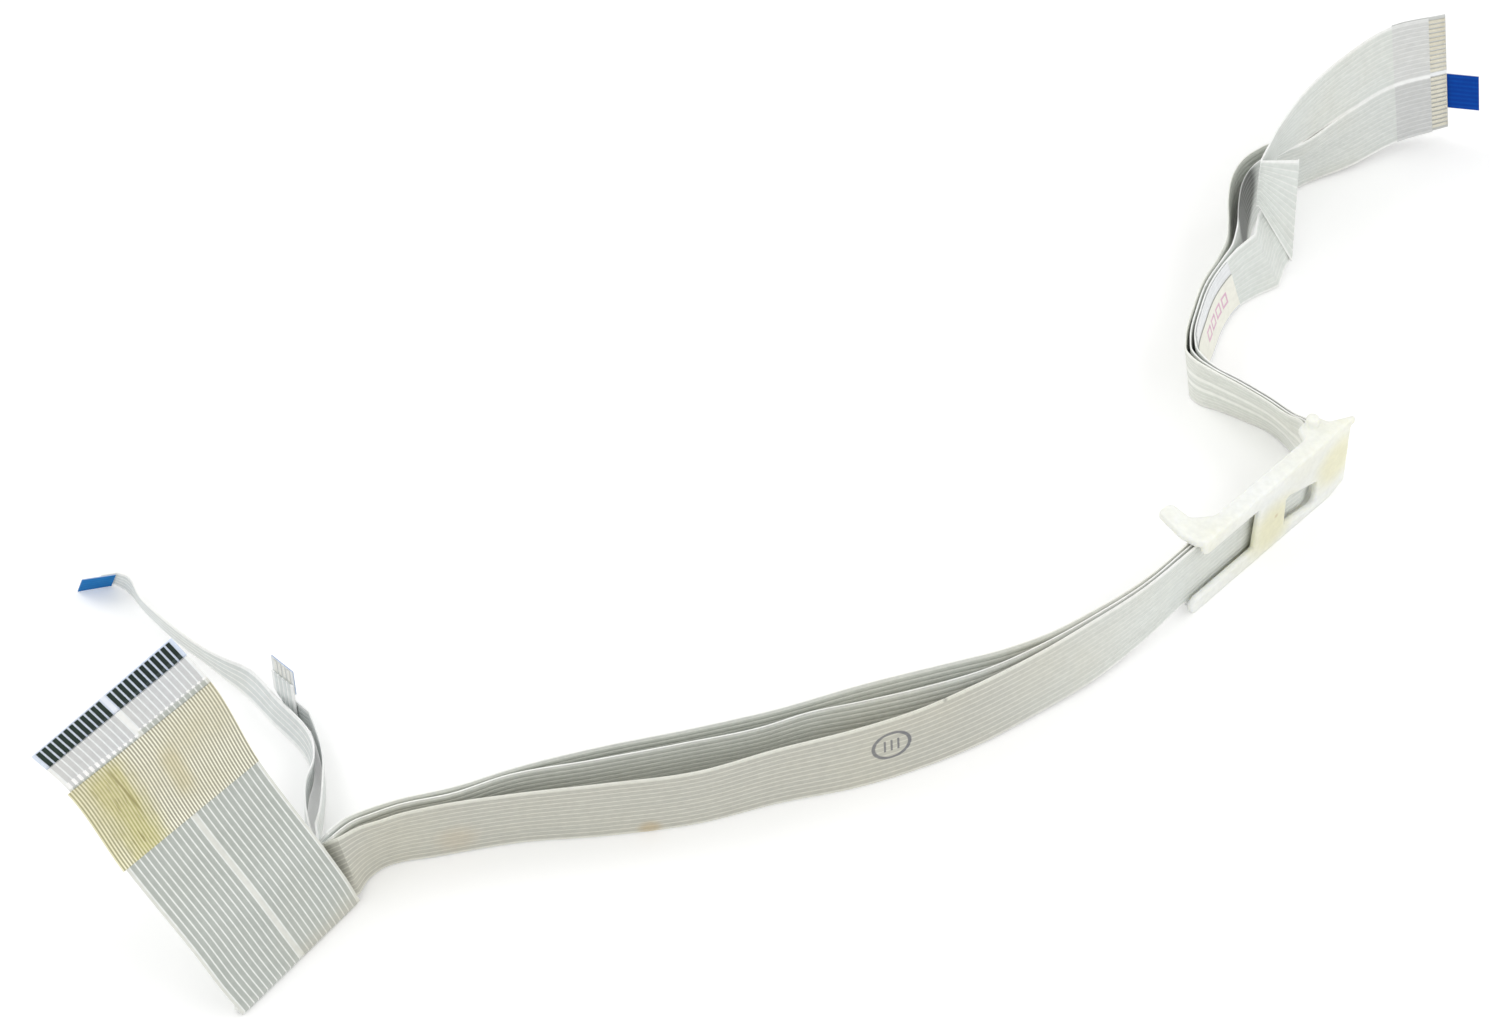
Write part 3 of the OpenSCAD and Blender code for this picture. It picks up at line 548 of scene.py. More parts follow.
def narrowStrip(kind):
    tailCols = filmColumns(0, 5)
    first = {"long": 0, "middle": 5, "short": 8}[kind]
    cols = filmColumns(5, 8) if kind == "middle" else first + tailCols
    body = narrowRows(cols)
    if kind == "long":
        tail = runRows(longTail, tailCols, film["tail"])
        lead = film["contact"] / np.linalg.norm(np.subtract(longTail[1][:2], longTail[0][:2]))
    elif kind == "short":
        r = turnRadius * 0.7
        tail = np.concatenate([shortUp([0, 5.5, 6.8], tailCols), shortPoint(tailCols, tailCols, 1)[None],
                               shortPoint(tailCols + r, tailCols - r, 0.5)[None], shortPoint(tailCols, tailCols, 0)[None],
                               runRows(shortTail["stops"], tailCols, film["tail"])])
        lead = film["contact"] / 5.5
    else:
        tail, lead = body[:0], 0.0
    rows = np.concatenate([tail, body])
    straight = np.zeros(len(rows) - 1, bool)
    straight[0] = True
    if kind == "short":
        straight[:6] = True
    straight[len(tail)] = True
    straight[-1] = True
    return rows, straight, cols, lead


def narrowSheet(kind):
    rows, straight, cols, lead = narrowStrip(kind)
    at = placesAlong(rows, straight, film["step"], lead)
    made = rowsAt(rows, straight, at)
    length = np.linalg.norm(np.diff(made, axis=0), axis=2).mean(axis=1).sum()
    return closedSheet(made, cols, filmHalf(cols), start=500 - length)  # the right end is always at 500


narrowSheets = [narrowSheet(kind) for kind in ("long", "middle", "short")]
print("film surfaces worked out:", round(frontLength), "and", round(backLength), "mm long")

# How the film looks, as conductor, film between, and gap, for the panel or tails, the long run, and the right; besides
# the film's own colour, the panel and long run tones hold painted shade and the right end tones painted light
panelTones = ((0.425, 0.455, 0.42), (0.84, 0.86, 0.83), (0.71, 0.72, 0.665))
frontLook = {
    "tones": (panelTones, ((0.49, 0.485, 0.425), (0.68, 0.675, 0.59), (0.76, 0.76, 0.68)),
              ((0.70, 0.735, 0.70), (0.80, 0.82, 0.79), (0.95, 0.96, 0.94))),
    "breaks": ((51.5, 56), (165, 215)), "stiff": (0.60, 0.61, 0.62), "stiffLine": (0.88, 0.91, 0.92),
    "end": (0.66, 0.67, 0.66), "endLine": (0.77, 0.78, 0.77), "yellowed": (0.66, 0.62, 0.47), "amount": 0.2,
    "roughness": 0.36, "band": 0.77, "bump": 0.1}
# The back half is a lit and shaded copy of the same film: its long run tones are lighter with painted light for light
# through the film, its right end darker with painted shade
backLitShadedLook = {
    **frontLook,
    "tones": (panelTones, ((0.64, 0.665, 0.61), (0.88, 0.89, 0.83), (0.93, 0.94, 0.90)),
              ((0.67, 0.70, 0.67), (0.77, 0.79, 0.76), (0.95, 0.96, 0.94))),
    # painted shade: a dark spot on the back half's front face inside the right fold
    "paintedHollowShade": ((75.2, 66, 10), 10, (0.03, 0.035, 0.025), 0.95)}
narrowLook = {
    **frontLook,
    "tones": (((0.72, 0.76, 0.75), (0.97, 0.98, 0.97), (0.97, 0.98, 0.97)),
              ((0.66, 0.685, 0.63), (0.90, 0.905, 0.85), (0.93, 0.94, 0.90)),
              ((0.76, 0.78, 0.72), (0.86, 0.87, 0.82), (0.95, 0.96, 0.90))),
    "breaks": ((196, 206), (300, 350))}
# Each stain: its place, its reach, its colour and its strength
stains = [((-27.7, -64.6, 1.0), 2.6, (0.5, 0.36, 0.16), 0.55), ((-57.4, -67.6, 4), 5, (0.58, 0.46, 0.3), 0.3),
          ((17.8, -48.5, 12.8), 0.7, (0.05, 0.05, 0.05), 0.9)]
ringMark = {"across": 20.4, "along": 158.5, "wide": 3.4, "tall": 2.9, "ink": (0.05, 0.06, 0.10)}


def gapLine(tree, across):  # the place of the missing thirteenth conductor
    return ramp(tree, distanceFrom(tree, across, film["half"]), 0.3, 0.46, 1.0, 0.0)


def plainRing(tree, across, along):  # a bare printed ring with three bars, 1 on the ink
    u = calc(tree, "MULTIPLY", calc(tree, "SUBTRACT", along, ringMark["along"]), 1 / ringMark["wide"])
    v = calc(tree, "MULTIPLY", calc(tree, "SUBTRACT", across, ringMark["across"]), 1 / ringMark["tall"])
    size = calc(tree, "SQRT", calc(tree, "ADD", calc(tree, "MULTIPLY", u, u), calc(tree, "MULTIPLY", v, v)))
    ring = ramp(tree, distanceFrom(tree, size, 0.9), 0.06, 0.12, 1.0, 0.0)
    third = calc(tree, "FRACT", calc(tree, "ADD", calc(tree, "MULTIPLY", u, 3.0), 0.5))
    box = calc(tree, "MULTIPLY", ramp(tree, calc(tree, "ABSOLUTE", u), 0.42, 0.48, 1.0, 0.0),
               ramp(tree, calc(tree, "ABSOLUTE", v), 0.36, 0.42, 1.0, 0.0))
    bars = calc(tree, "MULTIPLY", ramp(tree, distanceFrom(tree, third, 0.5), 0.12, 0.2, 1.0, 0.0), box)
    return calc(tree, "MULTIPLY", calc(tree, "MAXIMUM", ring, bars), frontFace(tree))


def stiffenedEnds(tree, colour, bands, across, along, look, ends):  # the film looks paler over the stiffeners
    stiff = ramp(tree, along, 8.0, 8.7, 1.0, 0.0)
    lined = blendColour(tree, bands["Mask"], look["stiffLine"], look["stiff"])
    colour = blendColour(tree, stiff, colour, blendColour(tree, bands["Gap"], lined, (0.90, 0.91, 0.90)))
    reach = ramp(tree, across, 0, film["half"], 0.6, 0.18)  # the white dashes are longer at the near side
    place = distanceFrom(tree, calc(tree, "ADD", along, reach), 8.35)
    dashes = ramp(tree, calc(tree, "SUBTRACT", place, reach), -0.05, 0.05, 1.0, 0.0)
    colour = blendColour(tree, calc(tree, "MULTIPLY", dashes, bands["Between"]), colour, (1.0, 1.0, 1.0))
    pale = blendColour(tree, bands["Mask"], look["endLine"], look["end"])
    pale = blendColour(tree, gapLine(tree, across), pale, (0.95, 0.96, 0.95))
    # painted shade: the lower half of the right end is darkened by up to 12 per cent
    pale = blendColour(tree, ramp(tree, across, 12.5, 12.7, 0.12, 0.0), pale, (0.0, 0.0, 0.0))
    return blendColour(tree, ramp(tree, along, ends - 0.25, ends), colour, pale)


def filmMaterial(name, look, width, gapA, gapB, ends=None, marked=False):
    material, tree, surface = newMaterial(name, **{"IOR": 1.5, "Coat Weight": 0.12, "Coat Roughness": 0.3})
    across, along, _ = pieceCoords(tree)
    bands = useGroup(tree, bandGroup, Across=across, Width=width, GapA=gapA, GapB=gapB, Band=look["band"])
    tones = [blendColour(tree, bands["Gap"], blendColour(tree, bands["Mask"], between, conductor), gap)
             for conductor, between, gap in look["tones"]]
    colour = tones[0]
    for tone, (first, last) in zip(tones[1:], look["breaks"]):
        colour = blendColour(tree, ramp(tree, along, first, last), colour, tone)
    # each conductor has its own tone, and the tone drifts along it
    coords = put(tree, "ShaderNodeCombineXYZ")
    feed(tree, coords.inputs[0], calc(tree, "FLOOR", calc(tree, "ADD", across, 0.5)))
    feed(tree, coords.inputs[1], calc(tree, "MULTIPLY", along, 0.03))
    drift = calc(tree, "MULTIPLY", ramp(tree, noise(tree, 0.9, 2, coords=coords.outputs[0]), 0.35, 0.7), 0.12)
    colour = blendColour(tree, drift, colour, (0.42, 0.44, 0.41))
    if ends:
        colour = stiffenedEnds(tree, colour, bands, across, along, look, ends)
    for place, reach, tint, strength in stains:
        colour = blendColour(tree, calc(tree, "MULTIPLY", spotNear(tree, place, reach), strength), colour, tint)
    if "paintedHollowShade" in look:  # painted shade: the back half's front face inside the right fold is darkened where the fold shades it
        place, reach, tint, strength = look["paintedHollowShade"]
        spot = ramp(tree, spotNear(tree, place, reach), 0.0, 0.5, 0.0, strength)
        colour = blendColour(tree, calc(tree, "MULTIPLY", spot, frontFace(tree)), colour, tint)
    if marked:
        ink = calc(tree, "MULTIPLY", plainRing(tree, across, along), 0.85)
        colour = blendColour(tree, ink, colour, ringMark["ink"])
    finishAged(tree, surface, colour, look, calc(tree, "MULTIPLY", bands["Mask"], 0.8))
    return material


noGap = -9.0  # a place off the film, where no conductor is left out
stiffPast = 6.8  # the right stiffener starts this far before the film's covered part ends
wideFilm = filmMaterial("wideFilm", frontLook, film["wide"], film["half"], noGap, frontLength - stiffPast, True)
# the back half's material holds painted light on its long run and painted shade on its right end and inside the fold
wideFilmBack = filmMaterial("wideFilmBack", backLitShadedLook, film["wide"], film["half"], noGap, backLength - stiffPast)
narrowFilm = filmMaterial("narrowFilm", narrowLook, film["half"], 5.0, 8.0)
makePiece("wideHalfFront", [frontSheet], wideFilm, "film", "wide_ribbon")
makePiece("wideHalfBack", [backSheet], wideFilmBack, "film", "wide_ribbon")
makePiece("narrowRibbonFilm", narrowSheets, narrowFilm, "film", "narrow_ribbon")


# Thin pieces lie on the film's faces: a patch of rows and columns, one thickness, lifted off the middle
def patch(rows, straight, first, last, cols, thickness, lift, half=None, step=0.8):
    at = placesAlong(rows, straight, step, first, last)
    return closedSheet(rowsAt(rows, straight, at), cols, thickness / 2 if half is None else half, lift)


def flatSpan(distances, cols, thickness, lift, half=None):
    half = thickness / 2 if half is None else half
    return closedSheet(panelRows(distances, cols), cols, half, lift, distances[0])


def endRows(cols):
    rows = runRows(wideRun, cols, film["wide"])
    return rows, np.zeros(len(rows) - 1, bool)


def barEdges(centre):
    return centre + np.array([-0.34, -0.3, 0, 0.3, 0.34])


backing = {"thickness": 0.22, "left": 9, "right": 10, "colour": (0.66, 0.75, 0.90), "gap": (0.86, 0.90, 0.97),
           "yellowed": (0.72, 0.76, 0.82), "amount": 0.4, "roughness": 0.3, "lower": 0.0}
# the right backing's lower half holds painted shade, 14 per cent darker
rightBacking = {**backing, "colour": (0.57, 0.58, 0.55), "gap": (0.90, 0.92, 0.93), "lower": 0.14}
backingLift = skin + film["seam"] + backing["thickness"] / 2
contacts = {"thickness": 0.08, "rounded": np.array([0.015, 0.036, 0.04, 0.036, 0.015]),
            "ends": (0.1, film["contact"] - 0.06)}
contactLift = skin - contacts["thickness"] / 2
conductorPlaces = [i for i in range(1, 26) if i != 13]
evenCols = np.arange(0, 26.01, 0.5)


def backingMaterial(name, look):
    material, tree, surface = newMaterial(name, **{"IOR": 1.5, "Coat Weight": 0.2, "Coat Roughness": 0.15})
    across, _, _ = pieceCoords(tree)
    cloud = ramp(tree, noise(tree, 120, 3), 0.3, 0.7, 0, 0.25)
    pale = calc(tree, "MAXIMUM", cloud, gapLine(tree, across))
    tone = blendColour(tree, pale, look["colour"], look["gap"])
    # painted shade: the lower half is darkened by the look's lower amount
    tone = blendColour(tree, ramp(tree, across, 12.5, 12.7, look["lower"], 0.0), tone, (0.0, 0.0, 0.0))
    finishAged(tree, surface, tone, look)
    return material


def darkContactMaterial():
    look = {"yellowed": (0.03, 0.05, 0.035), "amount": 0.5, "roughness": 0.42, "bump": 0.2}
    material, tree, surface = newMaterial("darkContacts", **{"Specular IOR Level": 0.2})
    _, along, uv = pieceCoords(tree)
    drawn = noise(tree, 6, 4, (9, 0.6, 1), uv)  # fine drawing lines along each bar
    tone = blendColour(tree, ramp(tree, drawn, 0.35, 0.7), (0.006, 0.014, 0.011), (0.018, 0.034, 0.028))
    tone = blendColour(tree, ramp(tree, along, 2.9, 3.15, 0, 0.5), tone, (0.06, 0.08, 0.08))
    finishAged(tree, surface, tone, look)
    return material


def brightContactMaterial(name, colour, fleck):  # dark worn flecks start this far along each bar
    look = {"yellowed": (0.5, 0.42, 0.24), "amount": 0.5, "roughness": 0.28, "bump": 0.2}
    material, tree, surface = newMaterial(name, Metallic=0.55)
    _, along, uv = pieceCoords(tree)
    drawn = noise(tree, 6, 4, (9, 0.6, 1), uv)
    tone = blendColour(tree, ramp(tree, drawn, 0.3, 0.75), colour, (0.86, 0.84, 0.76))
    flecks = ramp(tree, noise(tree, 5, 3, (2, 2, 1), uv), 0.56, 0.66)
    worn = calc(tree, "MULTIPLY", flecks, ramp(tree, along, fleck, fleck + 0.8))
    finishAged(tree, surface, blendColour(tree, worn, tone, (0.13, 0.11, 0.09)), look)
    return material


def leftBar(place):
    ends = np.linspace(*contacts["ends"], 6)
    return flatSpan(ends, barEdges(place), contacts["thickness"], -contactLift, contacts["rounded"])


tipRow = len(wideRun) - 1


def rightBar(place):
    near, far = (tipRow - distance / wideEnd for distance in contacts["ends"])
    edges = barEdges(place)
    return patch(*endRows(edges), far, near, edges, contacts["thickness"], -contactLift, contacts["rounded"])


leftSpan = flatSpan(np.linspace(0, backing["left"], 14), evenCols, backing["thickness"], -backingLift)
makePiece("leftBackingFilm", [leftSpan], backingMaterial("leftBackingFilm", backing), "pale_backing", "left_backing")
makePiece("leftContactBars", [leftBar(i) for i in conductorPlaces], darkContactMaterial(), "dark_contact",
          "left_contacts")
rightSpan = patch(*endRows(evenCols), tipRow - backing["right"] / wideEnd, tipRow, evenCols,
                  backing["thickness"], -backingLift)
makePiece("rightBackingFilm", [rightSpan], backingMaterial("rightBackingFilm", rightBacking), "pale_backing",
          "right_backing")
makePiece("rightContactBars", [rightBar(i) for i in conductorPlaces],
          brightContactMaterial("rightContacts", (0.60, 0.57, 0.44), 1.9), "bright_contact", "right_contacts")

# Yellowed tape over the panel: two fine lines to each conductor, a brown patch and streaks
tape = {"from": 8.5, "length": 15.5, "over": 0.6, "thickness": 0.06, "cream": (0.34, 0.325, 0.235),
        "line": (0.95, 0.93, 0.79), "khaki": (0.47, 0.44, 0.12), "streak": (0.20, 0.17, 0.02)}
tapeLift = skin + film["seam"] + tape["thickness"] / 2


def tapeMaterial():
    look = {"yellowed": (0.56, 0.50, 0.28), "amount": 0.45, "roughness": 0.3, "bump": 0.12}
    material, tree, surface = newMaterial("panelTape", **{"IOR": 1.5, "Coat Weight": 0.2, "Coat Roughness": 0.15})
    across, along, uv = pieceCoords(tree)
    doubled = calc(tree, "FRACT", calc(tree, "MULTIPLY", across, 2.0))
    line = ramp(tree, distanceFrom(tree, doubled, 0.5), 0.2, 0.32)
    colour = blendColour(tree, line, tape["cream"], tape["line"])
    # the stain is darkest near the left third, and runs down along the conductors
    drift = calc(tree, "SUBTRACT", noise(tree, 0.35, 3, (1, 0.35, 1), uv), 0.5)
    side = distanceFrom(tree, across, calc(tree, "ADD", 5.2, calc(tree, "MULTIPLY", drift, 5.0)))
    stain = calc(tree, "MULTIPLY", ramp(tree, side, 1.2, 4.8, 1.0, 0.0), ramp(tree, along, 8.4, 11, 0.55, 1.0))
    stained = blendColour(tree, line, tape["khaki"], (0.66, 0.62, 0.28))
    colour = blendColour(tree, calc(tree, "MULTIPLY", stain, 0.72), colour, stained)
    edge = ramp(tree, across, -tape["over"], 5, 0.55, 0.0)
    colour = blendColour(tree, edge, colour, blendColour(tree, line, (0.42, 0.39, 0.16), (0.80, 0.76, 0.46)))
    second = calc(tree, "MULTIPLY", ramp(tree, distanceFrom(tree, across, 14.5), 0.4, 2.6, 1, 0),
                  ramp(tree, distanceFrom(tree, along, 17), 2, 6, 1, 0))
    colour = blendColour(tree, calc(tree, "MULTIPLY", second, 0.4), colour, (0.56, 0.48, 0.22))
    thin = ramp(tree, noise(tree, 1.6, 4, (2.2, 0.18, 1), uv), 0.56, 0.7)
    streaks = calc(tree, "MULTIPLY", thin, calc(tree, "ADD", calc(tree, "MULTIPLY", stain, 0.6), 0.08))
    colour = blendColour(tree, streaks, colour, tape["streak"])
    leaning = calc(tree, "ADD", 6.0, calc(tree, "MULTIPLY", calc(tree, "SUBTRACT", along, 10), 0.08))
    dark = calc(tree, "MULTIPLY", ramp(tree, distanceFrom(tree, across, leaning), 0.05, 0.3, 1, 0),
                ramp(tree, distanceFrom(tree, along, 14), 2.5, 6.5, 1, 0))
    colour = blendColour(tree, calc(tree, "MULTIPLY", dark, 0.8), colour, tape["streak"])
    finishAged(tree, surface, colour, look, calc(tree, "MULTIPLY", line, 0.5))
    return material


tapeSpan = flatSpan(np.linspace(tape["from"], tape["from"] + tape["length"], 22),
                    np.concatenate([[-tape["over"]], np.arange(0, 26.01, 0.25)]), tape["thickness"], tapeLift)
makePiece("panelTapeStrip", [tapeSpan], tapeMaterial(), "aged_tape", "panel_tape")

# Tape and paper label after the upright crease, from one stop of the front run to another
label = {"from": 0.8, "height": 8.6, "start": 27.15, "end": 30, "paper": (0.89, 0.885, 0.80),
         "ink": (0.66, 0.27, 0.50), "lane": 5.6, "marks": (5.8, 17.4, 2.9)}


def bendPatch(cols, lift):
    rows = runRows(frontRun, cols, film["half"])
    straight = np.zeros(len(rows) - 1, bool)
    return patch(rows, straight, label["start"], label["end"], cols, tape["thickness"], lift, step=0.5)


def clearTapeMaterial():
    look = {"yellowed": (0.78, 0.78, 0.72), "amount": 0.3, "roughness": 0.22, "bump": 0.08}
    material, tree, surface = newMaterial("clearTape", **{"IOR": 1.5, "Coat Weight": 0.5, "Coat Roughness": 0.08})
    across, _, _ = pieceCoords(tree)
    bands = useGroup(tree, bandGroup, Across=across, Width=film["half"], GapA=noGap, GapB=noGap, Band=0.7)
    faint = calc(tree, "MULTIPLY", bands["Mask"], 0.35)
    finishAged(tree, surface, blendColour(tree, faint, (0.80, 0.82, 0.84), (0.66, 0.68, 0.71)), look)
    return material


def labelMaterial():
    look = {"yellowed": (0.74, 0.69, 0.54), "amount": 0.35, "roughness": 0.62, "bump": 0.3}
    material, tree, surface = newMaterial("labelPaper")
    across, along, _ = pieceCoords(tree)
    first, last, pitch = label["marks"]
    # a row of plain pink outlines along the label
    step = calc(tree, "FRACT", calc(tree, "MULTIPLY", calc(tree, "SUBTRACT", along, first), 1 / pitch))
    boxed = calc(tree, "MAXIMUM", calc(tree, "MULTIPLY", distanceFrom(tree, across, label["lane"]), 1 / 1.5),
                 calc(tree, "MULTIPLY", distanceFrom(tree, step, 0.5), 1 / 0.38))
    inside = calc(tree, "MULTIPLY", ramp(tree, along, first - 0.05, first), ramp(tree, along, last, last + 0.05, 1, 0))
    outlines = calc(tree, "MULTIPLY", ramp(tree, distanceFrom(tree, boxed, 0.8), 0.16, 0.24, 1, 0), inside)
    colour = blendColour(tree, calc(tree, "MULTIPLY", outlines, 0.7), label["paper"], label["ink"])
    top = label["from"] + label["height"]
    rim = calc(tree, "MAXIMUM", ramp(tree, across, top - 0.3, top - 0.16), ramp(tree, along, 0.16, 0.3, 1, 0))
    colour = blendColour(tree, calc(tree, "MULTIPLY", rim, 0.75), colour, (0.28, 0.29, 0.25))
    finishAged(tree, surface, colour, look)
    return material


bendCols = np.concatenate([[0.3], np.arange(0.5, 12.6, 0.5), [12.7]])
labelCols = label["from"] + np.linspace(0, label["height"], 18)
labelLift = tapeLift + tape["thickness"] + film["seam"]
makePiece("bendTapeStrip", [bendPatch(bendCols, tapeLift)], clearTapeMaterial(), "clear_tape", "bend_tape")
makePiece("paperLabelStrip", [bendPatch(labelCols, labelLift)], labelMaterial(), "label_paper", "paper_label")

# Blue stiffening film: the pull tab at the right, and the tips of both tails
blue = {"thickness": 0.22, "colour": (0.0005, 0.05, 0.34), "light": (0.001, 0.085, 0.45), "pull": 8.5,
        "height": 8.0, "top": 12.75, "tail": 5.5, "overlap": 5.0, "way": (0.985, -0.17, 0.02)}
blueLift = skin + film["seam"] + blue["thickness"] / 2


def blueMaterial(name, colour, light):
    look = {"yellowed": light, "amount": 0.3, "roughness": 0.5, "bump": 0.1}
    material, tree, surface = newMaterial(name, **{"Specular IOR Level": 0.08})
    across, _, uv = pieceCoords(tree)
    wave = calc(tree, "SINE", calc(tree, "MULTIPLY", across, 6.2832))
    faint = noise(tree, 2.5, 3, (1, 0.15, 1), uv)
    lines = calc(tree, "MULTIPLY", ramp(tree, wave, -0.6, 0.9), ramp(tree, faint, 0.3, 0.7, 0.2, 0.55))
    outer = blendColour(tree, lines, colour, light)
    finishAged(tree, surface, blendColour(tree, frontFace(tree), (0.86, 0.88, 0.88), outer), look)
    return material


def pullTabSheet():  # on the ribbon's end, then off it and a little downwards
    stops = np.array(narrowRun, float)
    last, step = stops[-1], stops[-1, :3] - stops[-2, :3]
    way = step / np.linalg.norm(step)
    outward = np.array(blue["way"])
    places = [last[:3] + way * s if s <= 0 else last[:3] + way * min(s, 1.0) + outward * max(s - 1.0, 0)
              for s in (-blue["overlap"], -2.5, 0, 0.6, 1.2, 2, 4, 6.5, blue["pull"])]
    cols = np.linspace(blue["top"] - blue["height"], blue["top"], 25)
    rows = runRows([[*p, *last[3:]] for p in places], cols, film["half"])
    return closedSheet(rows, cols, blue["thickness"] / 2, blueLift)


deepBlue = blueMaterial("pullTabFilm", blue["colour"], blue["light"])
paleBlue = blueMaterial("tailTabFilm", (0.003, 0.15, 0.44), (0.01, 0.21, 0.56))
makePiece("pullTabFilm", [pullTabSheet()], deepBlue, "blue_film", "pull_tab")


def longEnd(first, last, cols, thickness, lift, half=None):
    rows = runRows(longTail[:2], cols, film["tail"])
    whole = np.linalg.norm(np.subtract(longTail[1][:2], longTail[0][:2]))
    return patch(rows, [True], first / whole, last / whole, cols, thickness, lift, half)


def shortEnd(first, last, cols, thickness, lift, half=None):
    half = thickness / 2 if half is None else half
    return closedSheet(shortUp(np.linspace(first, last, 6), cols), cols, half, lift)


def tailTab(end):
    return [end(0, blue["tail"], np.linspace(0, film["tail"], 16), blue["thickness"], blueLift)]


def tailBars(end):
    return [end(*contacts["ends"], barEdges(i), contacts["thickness"], contactLift, contacts["rounded"])
            for i in range(1, 5)]


makePiece("longTailTab", tailTab(longEnd), paleBlue, "blue_film", "long_tail_tab")
makePiece("shortTailTab", tailTab(shortEnd), paleBlue, "blue_film", "short_tail_tab")
tailContacts = brightContactMaterial("tailContacts", (0.66, 0.68, 0.66), 9.0)
makePiece("longTailContacts", tailBars(longEnd), tailContacts, "bright_contact", "long_tail_contacts")
makePiece("shortTailContacts", tailBars(shortEnd), tailContacts, "bright_contact", "short_tail_contacts")

# The clip: natural nylon with soft moulded edges
clipLook = {"place": (59.5, -21, 0), "turn": 46, "round": 0.32, "height": 16.6, "grain": 0.18, "soften": 12,
            "peg": (34, 4.2), "pegRadii": (1.25, 1.1), "pegLength": 3.1, "pegMiddle": 0.2,
            "white": (0.88, 0.90, 0.865), "yellow": (0.80, 0.77, 0.52), "yellowed": (0.78, 0.75, 0.50),
            "amount": 0.2, "roughness": 0.38, "bump": 0.05,
            "aged": (((73, -6.2, 6), 9, 0.9), ((85, 5, 9), 8, 0.8)), "speck": ((74.1, -6.2, 8.0), 0.7)}
# Each plate: its outline and holes as (x, y, corner radius), its thickness, where it starts, and whether it lies flat
frontWall = [[(0, 0, 1.7), (36.4, 0, 1.5), (40.2, 1.6, 1.2), (39.4, 16.6, 0.6), (1.4, 16.6, 1.7), (1.4, 13.2, 1.7),
              (15.8, 13.2, 0.4), (15.8, 3.5, 0.4), (0, 3.5, 1.7)],
             [(23.3, 10.4, 0.7), (31.9, 7.4, 1), (32.1, 1.9, 1.2), (23.8, 3.4, 0.5)]]
topAndHook = [[(4.2, 0, 3), (40.4, 0, 0.3), (40.6, 0.7, 0.2), (36.6, 2.8, 1), (36, 5.5, 1), (32, 5.5, 1),
               (30.6, 3.1, 1), (7.4, 3.1, 2.2), (4.3, 5.6, 1.4), (4.7, 10, 1.2), (1.6, 10.2, 1), (0.4, 4.4, 4),
               (0.8, 0.9, 2)]]
bottom = [[(1.2, 0, 0.5), (37, 0, 1), (37, 5.6, 1), (1.2, 5.6, 0.5)]]
backWall = [[(5, 0, 0.5), (23.8, 0, 0.5), (23.8, 10.4, 1), (5, 10.4, 1)]]
clipPlates = [(frontWall, 1.2, 0, False), (topAndHook, 1.5, 15.1, True), (bottom, 1.2, 0, True),
              (backWall, 1.2, 4.4, False)]


def nylonMaterial():
    material, tree, surface = newMaterial("clipNylon", **{
        "IOR": 1.53, "Subsurface Weight": 0.45, "Subsurface Scale": 0.0025, "Subsurface Radius": (1.0, 0.95, 0.7),
        "Coat Weight": 0.1, "Coat Roughness": 0.3})
    cloud = ramp(tree, noise(tree, 60, 2), 0.3, 0.7, 0.0, 0.18)
    for spot, reach, amount in clipLook["aged"]:
        cloud = calc(tree, "MAXIMUM", cloud, calc(tree, "MULTIPLY", spotNear(tree, spot, reach), amount))
    colour = blendColour(tree, cloud, clipLook["white"], clipLook["yellow"])
    speck = calc(tree, "MULTIPLY", spotNear(tree, *clipLook["speck"]), 0.6)
    finishAged(tree, surface, blendColour(tree, speck, colour, (0.55, 0.40, 0.16)), clipLook)
    return material


def roundedOutline(corners):  # corners as (x, y, radius), each one turned into a short arc
    points = np.array([c[:2] for c in corners], float)
    made = []
    for k, (_, _, radius) in enumerate(corners):
        here = points[k]
        toBack, toNext = points[k - 1] - here, points[(k + 1) % len(points)] - here
        back, on = unit(toBack), unit(toNext)
        half = math.acos(float(np.clip(back @ on, -1, 1))) / 2
        room = 0.48 * min(np.linalg.norm(toBack), np.linalg.norm(toNext))
        reach = min(radius / max(math.tan(half), 0.05), room)
        first, last = here + back * reach, here + on * reach
        for t in np.linspace(0, 1, 7):
            made.append(first * (1 - t) ** 2 + here * 2 * t * (1 - t) + last * t * t)
    return np.array(made)


def mouldedPlate(outlines, thickness, placed):  # a flat plate with holes and rounded edges, set by a matrix
    edge = min(clipLook["round"], thickness * 0.45)
    drawn = bpy.data.curves.new("clipOutline", "CURVE")
    drawn.dimensions, drawn.fill_mode = "2D", "BOTH"
    drawn.extrude, drawn.bevel_depth, drawn.offset, drawn.bevel_resolution = thickness / 2 - edge, edge, -edge, 2
    for corners in outlines:
        points = roundedOutline(corners)
        line = drawn.splines.new("POLY")
        line.points.add(len(points) - 1)
        line.points.foreach_set("co", np.column_stack([points, np.zeros(len(points)), np.ones(len(points))]).ravel())
        line.use_cyclic_u = True
    holder = bpy.data.objects.new("clipOutline", drawn)
    mesh = bpy.data.meshes.new_from_object(holder)
    mesh.transform(placed)
    bpy.data.objects.remove(holder)
    return mesh


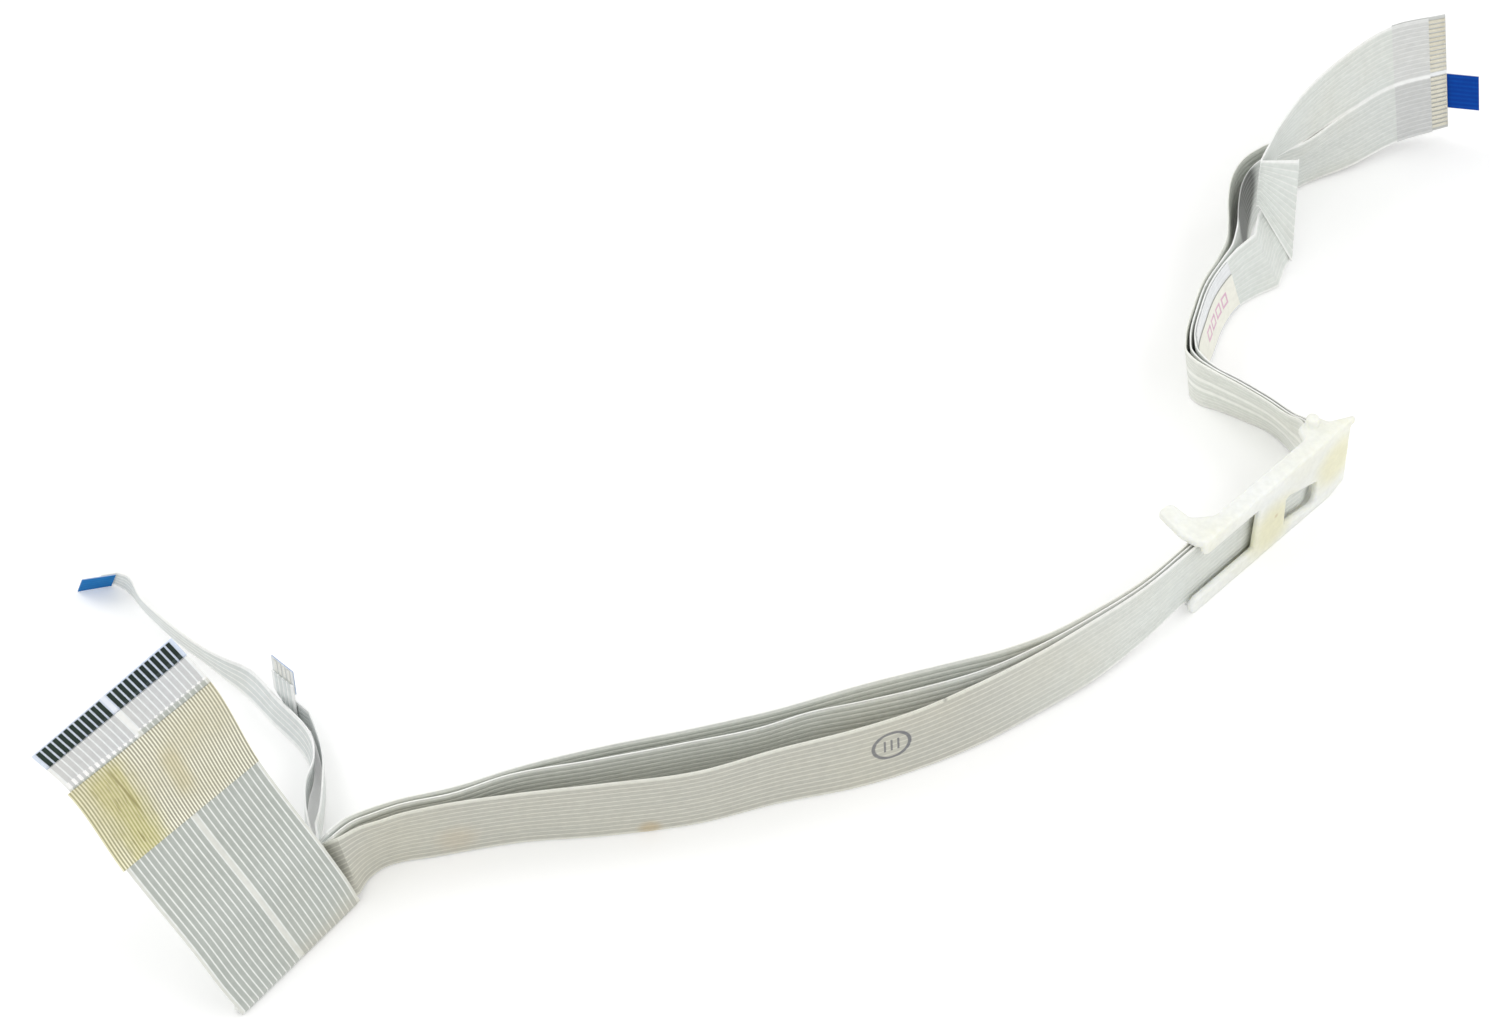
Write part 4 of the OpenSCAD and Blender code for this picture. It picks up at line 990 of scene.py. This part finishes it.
def makeClip():
    upright = Matrix(((1, 0, 0, 0), (0, 0, 1, 0), (0, 1, 0, 0), (0, 0, 0, 1)))  # drawn x and y become x and z
    shape = bmesh.new()
    for outlines, thickness, start, flat in clipPlates:
        middle = start + thickness / 2
        placed = Matrix.Translation((0, 0, middle)) if flat else Matrix.Translation((0, middle, 0)) @ upright
        shape.from_mesh(mouldedPlate(outlines, thickness, placed))
    foot, top = clipLook["pegRadii"]
    pegPlace = Matrix.Translation((*clipLook["peg"], clipLook["height"] + clipLook["pegMiddle"]))
    bmesh.ops.create_cone(shape, cap_ends=True, segments=32, radius1=foot, radius2=top, depth=clipLook["pegLength"],
                          matrix=pegPlace)
    bmesh.ops.remove_doubles(shape, verts=shape.verts, dist=0.001)
    bmesh.ops.recalc_face_normals(shape, faces=shape.faces)
    mesh = bpy.data.meshes.new("clipMoulding")
    shape.to_mesh(mesh)
    shape.free()
    mesh.transform(Matrix.Translation(clipLook["place"]) @ Matrix.Rotation(math.radians(clipLook["turn"]), 4, "Z"))
    mesh.transform(Matrix.Diagonal((mm, mm, mm, 1)))
    mesh.materials.append(nylonMaterial())
    clip = addPiece(bpy.data.objects.new("clipMoulding", mesh), "nylon", "clip")
    joined = clip.modifiers.new("oneMoulding", "REMESH")  # the plates become one body, with no seams inside
    joined.mode, joined.voxel_size, joined.use_smooth_shade = "VOXEL", clipLook["grain"] * mm, True
    soften = clip.modifiers.new("softEdges", "SMOOTH")
    soften.factor, soften.iterations = 0.5, clipLook["soften"]


makeClip()

# White glossy table, white surroundings, and soft lamps from above and from low at the front
studio = {"table": 1.6, "white": (0.93, 0.93, 0.925), "glow": 0.14, "world": 0.62,
          "lamps": [((-0.75, 0.45, 0.95), 0.7, 3.4), ((0.85, 0.35, 0.9), 0.7, 2.6), ((-0.1, -0.9, 0.7), 0.8, 1.4),
                    ((0.36, -0.2, 0.36), 0.35, 0.45), ((-0.3, -0.3, 0.36), 0.35, 0.4)]}


def makeStudio():
    size = studio["table"]
    mesh = bpy.data.meshes.new("table")
    mesh.from_pydata([(-size, -size, 0), (size, -size, 0), (size, size, 0), (-size, size, 0)], [], [(0, 1, 2, 3)])
    material, tree, surface = newMaterial("tableTop", Roughness=0.55)
    surface.inputs["Base Color"].default_value = (*studio["white"], 1)
    seen = put(tree, "ShaderNodeLightPath")
    rays = calc(tree, "MAXIMUM", seen.outputs["Is Camera Ray"], calc(
        tree, "MAXIMUM", seen.outputs["Is Glossy Ray"], seen.outputs["Is Transmission Ray"]))
    surface.inputs["Emission Color"].default_value = (1, 1, 1, 1)
    tree.links.new(calc(tree, "MULTIPLY", rays, studio["glow"]), surface.inputs["Emission Strength"])
    mesh.materials.append(material)
    table = bpy.data.objects.new("table", mesh)
    bpy.context.scene.collection.objects.link(table)
    world = bpy.data.worlds.new("studio")
    bpy.context.scene.world = world
    world.use_nodes = True
    tree = world.node_tree
    path = put(tree, "ShaderNodeLightPath")
    power = calc(tree, "ADD", studio["world"], calc(tree, "MULTIPLY", path.outputs["Is Camera Ray"], 1 - studio["world"]))
    tree.nodes["Background"].inputs[0].default_value = (1, 1, 1, 1)
    tree.links.new(power, tree.nodes["Background"].inputs[1])
    for place, wide, energy in studio["lamps"]:
        lamp = bpy.data.lights.new("softLamp", "AREA")
        lamp.size, lamp.energy = wide, energy
        holder = bpy.data.objects.new("softLamp", lamp)
        holder.location = place
        holder.rotation_euler = (Vector((0, 0, 0)) - Vector(place)).to_track_quat("-Z", "Y").to_euler()
        bpy.context.scene.collection.objects.link(holder)


makeStudio()
bpy.context.view_layer.update()
print("scene ready")
